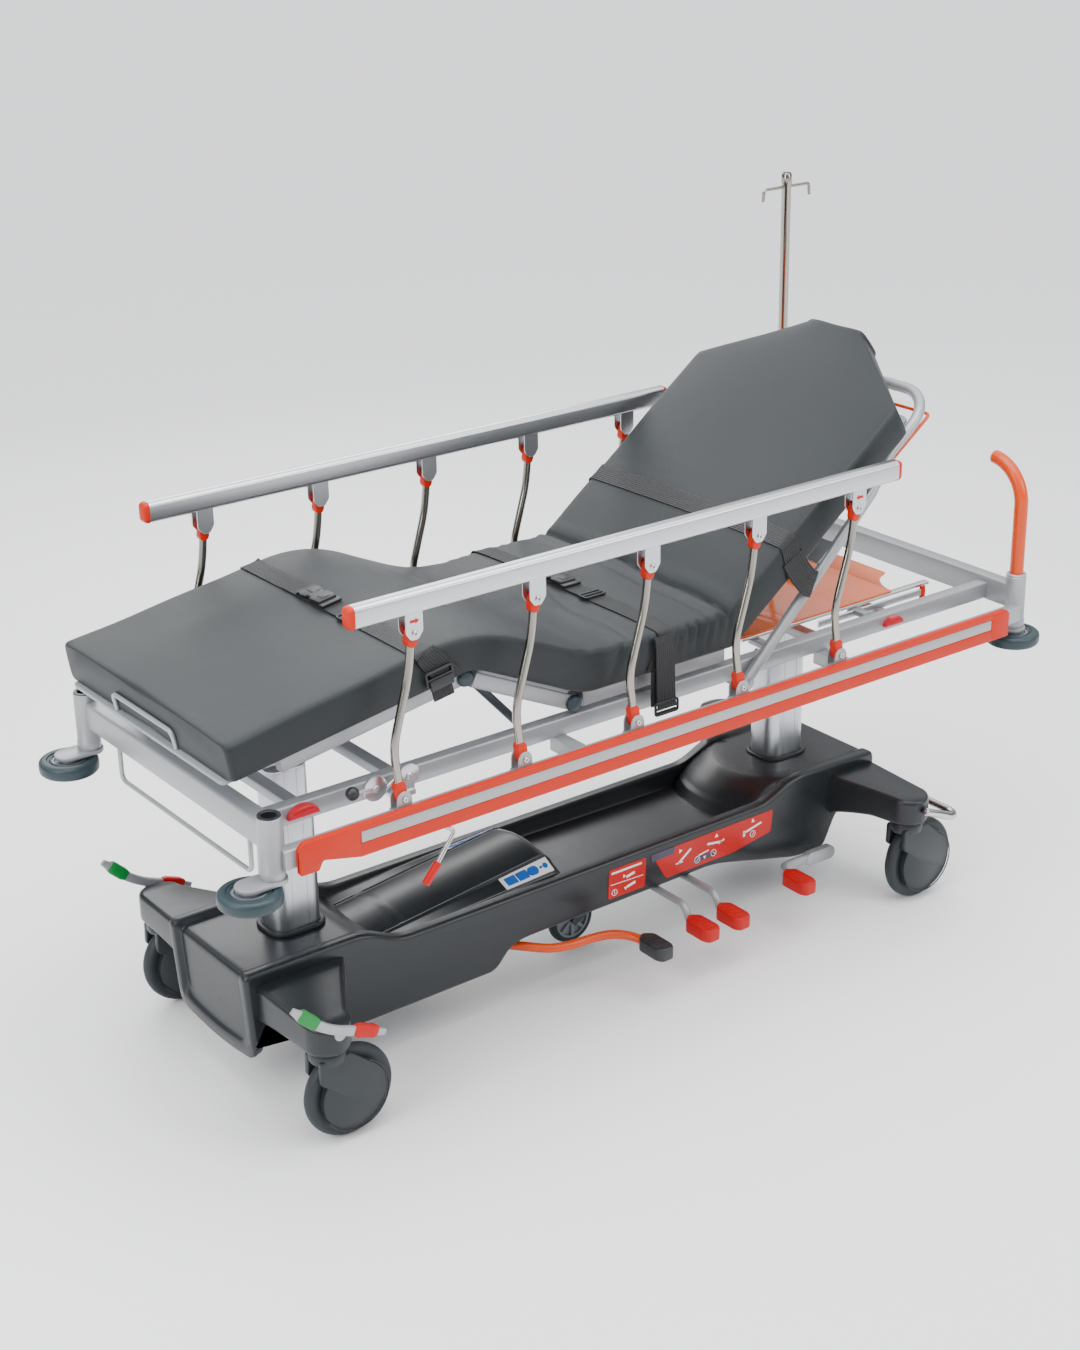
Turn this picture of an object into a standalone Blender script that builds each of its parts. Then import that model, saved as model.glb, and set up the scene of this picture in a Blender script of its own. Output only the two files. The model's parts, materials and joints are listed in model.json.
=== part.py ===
"""Hydraulic patient stretcher trolley.

Frame: +X is the head end, +Y the far side, +Z up; the origin is on the floor, under the middle of the
trolley's box. Every moving piece has its origin on its joint's axis. Lengths are metres.
"""
import math

import bmesh
import bpy
from mathutils import Matrix, Vector

GAP = 0.0003              # left between pieces that touch
SLIDE_GAP = 0.0015        # left round pieces that slide or turn in one another

# overall plan
CORNER_FOOT_X = -0.9765   # corner posts
CORNER_HEAD_X = 1.0265
CORNER_Y = 0.3725
CORNER_RADIUS = 0.0235
CORNER_LOW, CORNER_TOP = 0.6385, 0.765

# corner bumper rollers
BUMPER_RADIUS = 0.0625
BUMPER_LOW, BUMPER_TOP = 0.600, 0.630
BUMPER_FOOT_OFFSET = 0.050
BUMPER_BORE = 0.0095
BUMPER_PIN = 0.008

# upper frame
SIDE_TUBE_IN, SIDE_TUBE_OUT = 0.275, 0.305      # |y| of the main side tubes
SIDE_TUBE_LOW, SIDE_TUBE_TOP = 0.695, 0.735
CROSS_LOW, CROSS_TOP = 0.690, 0.748             # end cross tubes
LOWER_RAIL_IN, LOWER_RAIL_OUT = 0.374, 0.405    # |y| of the outer rails that carry the side guards
LOWER_RAIL_LOW, LOWER_RAIL_TOP = 0.660, 0.700
STRIP_OUT = 0.4195
STRIP_LOW, STRIP_TOP = 0.664, 0.706
STRIP_FOOT_X, STRIP_HEAD_X = -0.944, 0.958
SHELF_Z = 0.748

# lift columns
FOOT_COLUMN_X, HEAD_COLUMN_X = -0.735, 0.630
COLUMN_PIVOT_Z = 0.700
MID_SIZE = (0.112, 0.092, 0.030)                # length, width, corner radius
INNER_SIZE = (0.094, 0.074, 0.024)
SLEEVE_WALL = 0.004
SLEEVE_LOW, SLEEVE_TOP = 0.125, 0.2965
MID_LOW, MID_TOP = 0.142, 0.560
INNER_LOW, INNER_TOP = 0.330, 0.664
PIVOT_LUG = 0.017                               # half width of a column's top lug
PIVOT_PIN = 0.009

# base
BODY_HALF = 0.160
BODY_FOOT_X, BODY_HEAD_X = -0.940, 0.800
PEDESTAL_TOP = 0.313
RIM_TOP, TRAY_FLOOR = 0.272, 0.226
WALL = 0.006
ARM_TOP, ARM_LOW = 0.280, 0.212
STEM_FOOT_X, STEM_HEAD_X, STEM_Y = -0.862, 0.742, 0.335
BOSS_RADIUS = 0.048

# casters
WHEEL_RADIUS, WHEEL_HALF = 0.100, 0.016
TRAIL = 0.042
FORK_IN, FORK_OUT = 0.0185, 0.0325
AXLE_RADIUS = 0.008
FIFTH_RADIUS, FIFTH_HALF = 0.060, 0.014
FIFTH_PIVOT = (0.150, 0.0, 0.150)
FIFTH_WHEEL_X = -0.003

# side guards
POST_X0, POST_STEP, POSTS = -0.700, 0.2845, 5
POST_Y = 0.390
POST_LOW_Z, POST_TOP_Z, POST_LEAN = 0.726, 1.054, 0.0375
POST_RADIUS = 0.0085
BRACKET_IN, BRACKET_OUT = 0.0102, 0.0136
RAIL_LOW, RAIL_TOP, RAIL_HALF = 1.090, 1.135, 0.0155
RAIL_FOOT_X, RAIL_HEAD_X = -0.803, 0.602

# mattress support
DECK_IN, DECK_OUT = 0.2725, 0.2975              # |y| of the deck tubes
HIP_X, HIP_Z = -0.215, 0.757
TUBE_HALF = 0.0175
PANEL_LOW, PANEL_TOP = 0.0170, 0.0255           # above the hip and knee axes
PANEL_HALF = 0.305
MATTRESS_HALF = 0.330
MATTRESS_LOW, MATTRESS_TOP = 0.0260, 0.1060
THIGH_LENGTH, THIGH_ANGLE = 0.295, 25.4
LEG_LENGTH, LEG_ANGLE = 0.530, -9.0
LEG_TUBE_INSET = 0.105    # the leg's tubes stop short, to lie inside the foot cross tube when flat
SEAT_HEAD_X = 0.195
BACK_X, BACK_Z, BACK_ANGLE = 0.235, 0.690, -37.0
BACK_PANEL_LOW, BACK_PANEL_TOP = 0.0880, 0.0970
BACK_TUBE_RISE = math.radians(7.5)              # the back's side tubes climb towards the panel
BACK_TAPER, BACK_LENGTH, BACK_END_HALF = 0.652, 0.812, 0.091
BACK_PIN = 0.0075

COLOURS = {
    "black_plastic": ((0.012, 0.014, 0.016), 0.38, 0.0),
    "steel_dark": ((0.05, 0.052, 0.055), 0.50, 0.8),
    "silver_paint": ((0.50, 0.51, 0.52), 0.38, 0.6),
    "aluminium": ((0.62, 0.63, 0.65), 0.28, 1.0),
    "stainless": ((0.55, 0.52, 0.47), 0.18, 1.0),
    "chrome": ((0.75, 0.74, 0.72), 0.08, 1.0),
    "orange_plastic": ((0.85, 0.13, 0.04), 0.40, 0.0),
    "orange_paint": ((0.90, 0.20, 0.02), 0.25, 0.0),
    "orange_acrylic": ((0.95, 0.35, 0.08), 0.12, 0.0),
    "red_plastic": ((0.80, 0.05, 0.02), 0.40, 0.0),
    "grey_rubber": ((0.05, 0.085, 0.095), 0.60, 0.0),
    "caster_grey": ((0.035, 0.042, 0.048), 0.45, 0.0),
    "vinyl": ((0.055, 0.062, 0.066), 0.48, 0.0),
}


# ---------------------------------------------------------------- materials and objects
def material(name):
    found = bpy.data.materials.get(name)
    if found:
        return found
    colour, rough, metal = COLOURS[name]
    made = bpy.data.materials.new(name)
    made.use_nodes = True
    shader = made.node_tree.nodes["Principled BSDF"]
    shader.inputs["Base Color"].default_value = (*colour, 1.0)
    shader.inputs["Roughness"].default_value = rough
    shader.inputs["Metallic"].default_value = metal
    made.diffuse_color = (*colour, 1.0)
    return made


def mesh_object(name, bm):
    mesh = bpy.data.meshes.new(name)
    bm.to_mesh(mesh)
    bm.free()
    made = bpy.data.objects.new(name, mesh)
    bpy.context.scene.collection.objects.link(made)
    return made


def evaluated(source):
    """The object's mesh with its modifiers applied, as a bmesh."""
    bpy.context.view_layer.update()
    graph = bpy.context.evaluated_depsgraph_get()
    mesh = bpy.data.meshes.new_from_object(source.evaluated_get(graph))
    bm = bmesh.new()
    bm.from_mesh(mesh)
    bpy.data.meshes.remove(mesh)
    return bm


def fused(solids, cuts=()):
    """One solid: the union of the solids, less the cuts."""
    body = mesh_object("work", solids[0])
    tools = []
    for kind, group in (("UNION", solids[1:]), ("DIFFERENCE", cuts)):
        for solid in group:
            tool = mesh_object("tool", solid)
            tool.hide_render = True
            tool.display_type = "WIRE"
            change = body.modifiers.new(kind, "BOOLEAN")
            change.operation = kind
            change.solver = "EXACT"
            change.object = tool
            tools.append(tool)
    bm = evaluated(body)
    for used in (body, *tools):
        bpy.data.objects.remove(used, do_unlink=True)
    return bm


def place(name, bm, finish, origin=(0, 0, 0), turn=0.0, is_local=False):
    """Makes the named object, with its origin on its joint's axis and a turn in degrees about Y."""
    if not is_local:
        bmesh.ops.translate(bm, verts=bm.verts, vec=-Vector(origin))
    bmesh.ops.remove_doubles(bm, verts=bm.verts, dist=0.00002)
    made = mesh_object(name, bm)
    made.location = origin
    made.rotation_euler = (0, math.radians(turn), 0)
    made.data.materials.append(material(finish))
    made.data.shade_smooth()
    made.data.set_sharp_from_angle(angle=math.radians(35))
    return made


# ---------------------------------------------------------------- solids
def box(x0, x1, y0, y1, z0, z1):
    bm = bmesh.new()
    size = (abs(x1 - x0), abs(y1 - y0), abs(z1 - z0))
    centre = ((x0 + x1) / 2, (y0 + y1) / 2, (z0 + z1) / 2)
    bmesh.ops.create_cube(bm, size=1.0, matrix=Matrix.Translation(centre) @ Matrix.Diagonal((*size, 1)))
    return bm


def prism(outline, axis, low, high):
    """The closed outline, carried from low to high along an axis. The outline's two numbers are the other
    two axes in the order X, Y, Z."""
    order = {"X": lambda a, b, c: (c, a, b), "Y": lambda a, b, c: (a, c, b), "Z": lambda a, b, c: (a, b, c)}
    bm = bmesh.new()
    face = bm.faces.new([bm.verts.new(order[axis](a, b, low)) for a, b in outline])
    extruded = bmesh.ops.extrude_face_region(bm, geom=[face])
    step = order[axis](0, 0, high - low)
    far_end = [v for v in extruded["geom"] if isinstance(v, bmesh.types.BMVert)]
    bmesh.ops.translate(bm, verts=far_end, vec=step)
    bmesh.ops.recalc_face_normals(bm, faces=bm.faces)
    return bm


def rod(start, end, radius, sides=16):
    start, end = Vector(start), Vector(end)
    along = end - start
    bm = bmesh.new()
    spin = along.to_track_quat("Z", "Y").to_matrix().to_4x4()
    bmesh.ops.create_cone(bm, cap_ends=True, segments=sides, radius1=radius, radius2=radius,
                          depth=along.length, matrix=Matrix.Translation((start + end) / 2) @ spin)
    return bm


def tube(points, radius, resolution=2):
    """A round bar bent through the points, from a bevelled curve with filled caps."""
    curve = bpy.data.curves.new("tube", "CURVE")
    curve.dimensions = "3D"
    curve.bevel_depth = radius
    curve.bevel_resolution = resolution
    curve.use_fill_caps = True
    line = curve.splines.new("POLY")
    line.points.add(len(points) - 1)
    for point, place_at in zip(line.points, points):
        point.co = (*place_at, 1.0)
    holder = bpy.data.objects.new("tube", curve)
    bpy.context.scene.collection.objects.link(holder)
    bm = evaluated(holder)
    bpy.data.objects.remove(holder, do_unlink=True)
    bmesh.ops.remove_doubles(bm, verts=bm.verts, dist=0.00002)
    bmesh.ops.triangulate(bm, faces=bm.faces)
    bmesh.ops.recalc_face_normals(bm, faces=bm.faces)
    return bm


def turned(profile, centre, axis, steps=28):
    """A closed (radius, height) profile spun about an axis through the centre."""
    bm = bmesh.new()
    lift = {"Y": lambda r, h: (r, h, 0), "Z": lambda r, h: (r, 0, h)}[axis]
    verts = [bm.verts.new(Vector(centre) + Vector(lift(r, h))) for r, h in profile]
    edges = [bm.edges.new((verts[i], verts[(i + 1) % len(verts)])) for i in range(len(verts))]
    bmesh.ops.spin(bm, geom=verts + edges, cent=centre, axis=(0, 1, 0) if axis == "Y" else (0, 0, 1),
                   angle=math.tau, steps=steps, use_merge=True)
    bmesh.ops.remove_doubles(bm, verts=bm.verts, dist=0.00001)
    bmesh.ops.recalc_face_normals(bm, faces=bm.faces)
    return bm


def arc(centre, radius, start, end, steps):
    """Points of an arc, angles in degrees."""
    angles = [math.radians(start + (end - start) * i / steps) for i in range(steps + 1)]
    return [(centre[0] + radius * math.cos(a), centre[1] + radius * math.sin(a)) for a in angles]


def rounded(length, width, radius, centre=(0, 0), steps=4):
    """Outline of a rectangle with round corners."""
    outline = []
    for sx, sy, start in ((1, 1, 0), (-1, 1, 90), (-1, -1, 180), (1, -1, 270)):
        corner = (centre[0] + sx * (length / 2 - radius), centre[1] + sy * (width / 2 - radius))
        outline += arc(corner, radius, start, start + 90, steps)
    return outline


def hull(points):
    bm = bmesh.new()
    for point in points:
        bm.verts.new(point)
    made = bmesh.ops.convex_hull(bm, input=bm.verts)
    inside = [g for g in made["geom_interior"] if isinstance(g, bmesh.types.BMVert)]
    bmesh.ops.delete(bm, geom=inside, context="VERTS")
    bmesh.ops.recalc_face_normals(bm, faces=bm.faces)
    return bm


def tyre_profile(radius, half, bore, shoulder):
    return [(bore, -half), (radius - shoulder, -half), (radius, -half + shoulder), (radius, half - shoulder),
            (radius - shoulder, half), (bore, half)]


def moved(bm, offset=(0, 0, 0), turn_y=0.0):
    """The solid turned about Y at the origin, in degrees, and then moved."""
    bmesh.ops.transform(bm, verts=bm.verts, matrix=Matrix.Translation(offset)
                        @ Matrix.Rotation(math.radians(turn_y), 4, "Y"))
    return bm


# ---------------------------------------------------------------- base
def body_outline():
    """Side view of the base cover: pedestal, tray wall and pedestal, with the skirts below."""
    return [(BODY_FOOT_X, 0.118), (BODY_FOOT_X + 0.010, 0.300), (BODY_FOOT_X + 0.024, PEDESTAL_TOP),
            (-0.655, PEDESTAL_TOP), (-0.575, RIM_TOP), (0.462, RIM_TOP), (0.560, PEDESTAL_TOP),
            (BODY_HEAD_X - 0.020, PEDESTAL_TOP), (BODY_HEAD_X, 0.298), (BODY_HEAD_X, 0.215), (0.685, 0.190),
            (0.645, 0.098), (0.560, 0.098), (0.300, 0.164), (-0.270, 0.160), (-0.330, 0.113)]


def arm(x_low, x_high, stem_x, side, inset):
    """Triangular arm from the body's side to a caster's boss. The inset makes its hollow."""
    top = ARM_TOP - inset
    low = ARM_LOW - (0.01 if inset else 0.0)
    root = BODY_HALF - 0.004 if not inset else BODY_HALF - 0.03
    plan = [(x_low + inset, side * root), (x_high - inset, side * root)]
    plan += arc((stem_x, side * STEM_Y), BOSS_RADIUS - inset, 0, 345, 23)
    return hull([(x, y, z) for x, y in plan for z in (low, top)])


def column_hole(x, low, high, size, clearance):
    length, width, radius = size
    outline = rounded(length + 2 * clearance, width + 2 * clearance, radius + clearance, (x, 0))
    return prism(outline, "Z", low, high)


def base_cover():
    solids = [prism(body_outline(), "Y", -BODY_HALF, BODY_HALF)]
    cuts = [box(-0.556, 0.405, -BODY_HALF + 0.024, BODY_HALF - 0.024, TRAY_FLOOR, 0.40),
            prism([(0.404, TRAY_FLOOR + 0.0001), (0.53, 0.40), (0.403, 0.40)], "Y", -BODY_HALF + 0.024,
                  BODY_HALF - 0.024),
            prism([(-0.555, 0.40), (-0.635, 0.40), (-0.5552, TRAY_FLOOR + 0.0001)], "Y", -BODY_HALF + 0.024,
                  BODY_HALF - 0.024)]
    inner = BODY_HALF - WALL
    cuts += [box(BODY_FOOT_X + 0.018, -0.660, -inner, inner, 0.05, PEDESTAL_TOP - WALL),
             box(-0.661, 0.552, -inner, inner, 0.05, TRAY_FLOOR - WALL),
             box(0.551, BODY_HEAD_X - 0.008, -inner, inner, 0.05, PEDESTAL_TOP - WALL)]
    for side in (-1, 1):
        for low, high, stem in ((-0.905, -0.700, STEM_FOOT_X), (0.650, 0.797, STEM_HEAD_X)):
            solids.append(arm(low, high, stem, side, 0.0))
            cuts.append(arm(low, high, stem, side, 0.007))
    for x in (FOOT_COLUMN_X, HEAD_COLUMN_X):
        cuts.append(column_hole(x, 0.28, 0.34, MID_SIZE, SLIDE_GAP + SLEEVE_WALL + GAP * 2))
    place("base_cover", fused(solids, cuts), "black_plastic")


def chassis():
    rail_y = 0.112
    solids = [box(-0.880, 0.760, side * rail_y - 0.018, side * rail_y + 0.018, 0.166, 0.206)
              for side in (-1, 1)]
    for x in (STEM_FOOT_X, STEM_HEAD_X):
        solids.append(box(x - 0.020, x + 0.020, -STEM_Y, STEM_Y, 0.2135, 0.258))
        for side in (-1, 1):
            solids.append(rod((x, side * STEM_Y, 0.2125), (x, side * STEM_Y, 0.264), 0.030, 24))
            solids.append(box(x - 0.020, x + 0.020, side * rail_y - 0.015, side * rail_y + 0.015, 0.19, 0.23))
    cuts = []
    for x in (FOOT_COLUMN_X, HEAD_COLUMN_X):
        solids.append(box(x - 0.105, x + 0.105, -0.118, 0.118, 0.150, 0.170))
        solids.append(column_hole(x, SLEEVE_LOW, SLEEVE_TOP, MID_SIZE, SLIDE_GAP + SLEEVE_WALL))
        cuts.append(column_hole(x, 0.10, 0.35, MID_SIZE, SLIDE_GAP))
    for x in (STEM_FOOT_X, STEM_HEAD_X):
        cuts += [rod((x, side * STEM_Y, 0.20), (x, side * STEM_Y, 0.252), 0.0125, 16) for side in (-1, 1)]
    place("chassis", fused(solids, cuts), "steel_dark")


def pump_unit():
    solids = [box(0.335, 0.470, -0.070, 0.070, 0.122, 0.190),
              rod((0.345, 0.030, 0.140), (0.255, 0.030, 0.140), 0.026)]
    solids.append(rod((0.345, -0.030, 0.140), (0.275, -0.030, 0.140), 0.018))
    place("pump_unit", fused(solids), "steel_dark")


def oxygen_cradle():
    """Half-round hood for a gas cylinder, on the tray floor, with a flat flange along each side."""
    outline = [(-0.125, TRAY_FLOOR + GAP), (0.125, TRAY_FLOOR + GAP), (0.125, TRAY_FLOOR + 0.012),
               (0.088, TRAY_FLOOR + 0.014)]
    outline += [(0.086 * math.cos(a), TRAY_FLOOR + 0.014 + 0.062 * math.sin(a))
                for a in [math.radians(12 * i) for i in range(1, 15)]]
    outline += [(-0.088, TRAY_FLOOR + 0.014), (-0.125, TRAY_FLOOR + 0.012)]
    hood = prism(outline, "X", -0.548, -0.105)
    hollow = [(0.076 * math.cos(a), TRAY_FLOOR + 0.008 + 0.058 * math.sin(a))
              for a in [math.radians(15 * i) for i in range(0, 13)]]
    place("oxygen_cradle", fused([hood], [prism(hollow, "X", -0.530, -0.05)]), "black_plastic")


def casters():
    for end, stem_x in (("foot", STEM_FOOT_X), ("head", STEM_HEAD_X)):
        for side, where in ((-1, "near"), (1, "far")):
            y = side * STEM_Y
            axle_x = stem_x + TRAIL
            name = f"caster_{end}_{where}"
            stem = rod((stem_x, y, 0.203), (stem_x, y, 0.250), 0.0120, 16)
            bridge = hull([(px, y + py, z) for px, py in arc((stem_x, 0), 0.0330, 0, 345, 15)
                           for z in (0.2025, 0.2105)])
            cheeks = []
            for cheek in (-1, 1):
                outline = arc((axle_x, 0.100), 0.074, -35, 60, 5)
                outline += [(stem_x + 0.024, 0.2060), (stem_x - 0.024, 0.2060), (stem_x - 0.033, 0.165)]
                outline += arc((axle_x, 0.100), 0.074, 165, 200, 2)
                low, high = sorted((y + cheek * FORK_IN, y + cheek * FORK_OUT))
                cheeks.append(prism(outline, "Y", low, high))
            axle = rod((axle_x, y - 0.026, 0.100), (axle_x, y + 0.026, 0.100), AXLE_RADIUS - 0.0005)
            place(f"{name}_fork", fused([bridge, *cheeks, stem, axle]), "caster_grey", (stem_x, y, 0.23))
            wheel = turned(tyre_profile(WHEEL_RADIUS, WHEEL_HALF, AXLE_RADIUS + 0.0005, 0.007),
                           (axle_x, y, 0.100), "Y")
            place(f"{name}_wheel", wheel, "caster_grey", (axle_x, y, 0.100))


def brakes():
    """Rocker pedals on the ends of the foot casters' shaft, and the bar across the head casters."""
    for side, where in ((-1, "near"), (1, "far")):
        low, high = sorted((side * (STEM_Y + BOSS_RADIUS + 0.003), side * (STEM_Y + BOSS_RADIUS + 0.015)))
        upper = [(-0.100, 0.112), (-0.070, 0.070), (-0.030, 0.034), (0.020, 0.012), (0.060, -0.006),
                 (0.102, -0.026)]
        lower = [(0.104, -0.046), (0.055, -0.034), (0.015, -0.018), (-0.030, 0.004), (-0.072, 0.038),
                 (-0.114, 0.094)]
        outline = [(STEM_FOOT_X + x, 0.265 + z) for x, z in upper + lower]
        place(f"foot_brake_pedal_{where}", prism(outline, "Y", low, high), "silver_paint",
              (STEM_FOOT_X, side * (STEM_Y + BOSS_RADIUS + 0.009), 0.265))
    reach, drop, y_end = 0.114, -0.042, STEM_Y + BOSS_RADIUS + 0.012
    x, z = STEM_HEAD_X, 0.252
    half = [(x, y_end, z), (x + 0.055, y_end, z + drop * 0.55), (x + 0.085, y_end, z + drop * 0.9),
            (x + 0.105, y_end - 0.008, z + drop), (x + reach, y_end - 0.026, z + drop)]
    route = [(a, -b, c) for a, b, c in half] + half[::-1]
    place("head_brake_bar", tube(route, 0.0095), "chrome", (x, 0, z))


def fifth_wheel():
    px, _, pz = FIFTH_PIVOT
    wx, wz = FIFTH_WHEEL_X, FIFTH_RADIUS + 0.001
    arms = [hull([(x, y, z) for y in (side * 0.0155, side * 0.0215)
                  for x, z in ((px + 0.014, pz), (px, pz + 0.014), (px, pz - 0.014),
                               (wx - 0.012, wz), (wx, wz + 0.012), (wx, wz - 0.012))]) for side in (-1, 1)]
    cross = rod((px, -0.060, pz), (px, 0.060, pz), 0.010)
    axle = rod((wx, -0.018, wz), (wx, 0.018, wz), 0.0065)
    place("fifth_wheel_arm", fused([cross, *arms, axle]), "steel_dark", (px, 0, pz))
    wheel = turned(tyre_profile(FIFTH_RADIUS, FIFTH_HALF, 0.0072, 0.006), (wx, 0, wz), "Y", 24)
    place("fifth_wheel", wheel, "caster_grey", (wx, 0, wz))


def pad(x, y, z):
    """Foot pad, 100 mm out from the trolley, with a pointed inner end."""
    outline = [(-0.024, 0.030), (0.0, 0.046), (0.024, 0.030), (0.024, -0.036), (0.016, -0.050),
               (-0.016, -0.050),
               (-0.024, -0.036)]
    return prism([(x + a, y + b) for a, b in outline], "Z", z - 0.017, z + 0.017)


def pedals():
    route = [(-0.300, -0.060, 0.136), (-0.300, -0.085, 0.136), (-0.275, -0.110, 0.135),
             (-0.230, -0.150, 0.130),
             (-0.195, -0.176, 0.124), (-0.150, -0.188, 0.121), (-0.090, -0.194, 0.122),
             (-0.045, -0.206, 0.122),
             (-0.015, -0.234, 0.120), (-0.002, -0.270, 0.117)]
    place("fifth_wheel_pedal", fused([tube(route, 0.0105), pad(0.0, -0.300, 0.117)]), "orange_paint",
          (-0.300, -0.060, 0.136))
    for name, x in (("release_pedal_foot", 0.135), ("release_pedal_head", 0.225)):
        route = [(x, -0.070, 0.150), (x, -0.226, 0.150), (x, -0.244, 0.144), (x, -0.254, 0.128),
                 (x, -0.262, 0.118)]
        place(name, fused([tube(route, 0.008), pad(x, -0.300, 0.117)]), "red_plastic", (x, -0.070, 0.150))
    lever = [(0.620, -0.200, 0.112), (0.520, -0.200, 0.116), (0.478, -0.206, 0.118), (0.456, -0.226, 0.119),
             (0.450, -0.250, 0.119)]
    eye = rod((0.620, -0.212, 0.112), (0.620, -0.188, 0.112), 0.017)
    place("pump_pedal", fused([eye, tube(lever, 0.008), pad(0.450, -0.276, 0.119)]), "red_plastic",
          (0.620, -0.200, 0.112))


# ---------------------------------------------------------------- columns
def column_stage(name, x, low, high, size, finish, bore=None, lug=False):
    solids = [column_hole(x, low, high, size, 0.0)]
    if lug:
        solids.append(box(x - PIVOT_LUG, x + PIVOT_LUG, -0.020, 0.020, high - 0.01, COLUMN_PIVOT_Z + 0.015))
        solids.append(rod((x, -0.052, COLUMN_PIVOT_Z), (x, 0.052, COLUMN_PIVOT_Z), PIVOT_PIN))
    cuts = [column_hole(x, low - 0.01, high + 0.01, bore, SLIDE_GAP)] if bore else []
    place(name, fused(solids, cuts), finish, (x, 0, high))


def columns():
    for end, x in (("foot", FOOT_COLUMN_X), ("head", HEAD_COLUMN_X)):
        column_stage(f"{end}_column_middle", x, MID_LOW, MID_TOP, MID_SIZE, "aluminium", bore=INNER_SIZE)
        column_stage(f"{end}_column_top", x, INNER_LOW, INNER_TOP, INNER_SIZE, "aluminium", lug=True)


# ---------------------------------------------------------------- upper frame
def corner(x, y, is_foot):
    """Corner post, with the plate and pin that carry its bumper roller."""
    bumper_x = x - BUMPER_FOOT_OFFSET if is_foot else x
    plan = arc((x, y), CORNER_RADIUS, 0, 345, 15) + arc((bumper_x, y), 0.030, 0, 345, 15)
    plate = hull([(a, b, z) for a, b in plan for z in (BUMPER_TOP + 0.001, CORNER_LOW + 0.002)])
    post = rod((x, y, CORNER_LOW), (x, y, CORNER_TOP), CORNER_RADIUS, 24)
    pin = rod((bumper_x, y, BUMPER_LOW - 0.004), (bumper_x, y, BUMPER_TOP + 0.004), BUMPER_PIN)
    washer = rod((bumper_x, y, BUMPER_LOW - 0.006), (bumper_x, y, BUMPER_LOW - 0.001), 0.016)
    return [post, plate, pin, washer]


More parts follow.
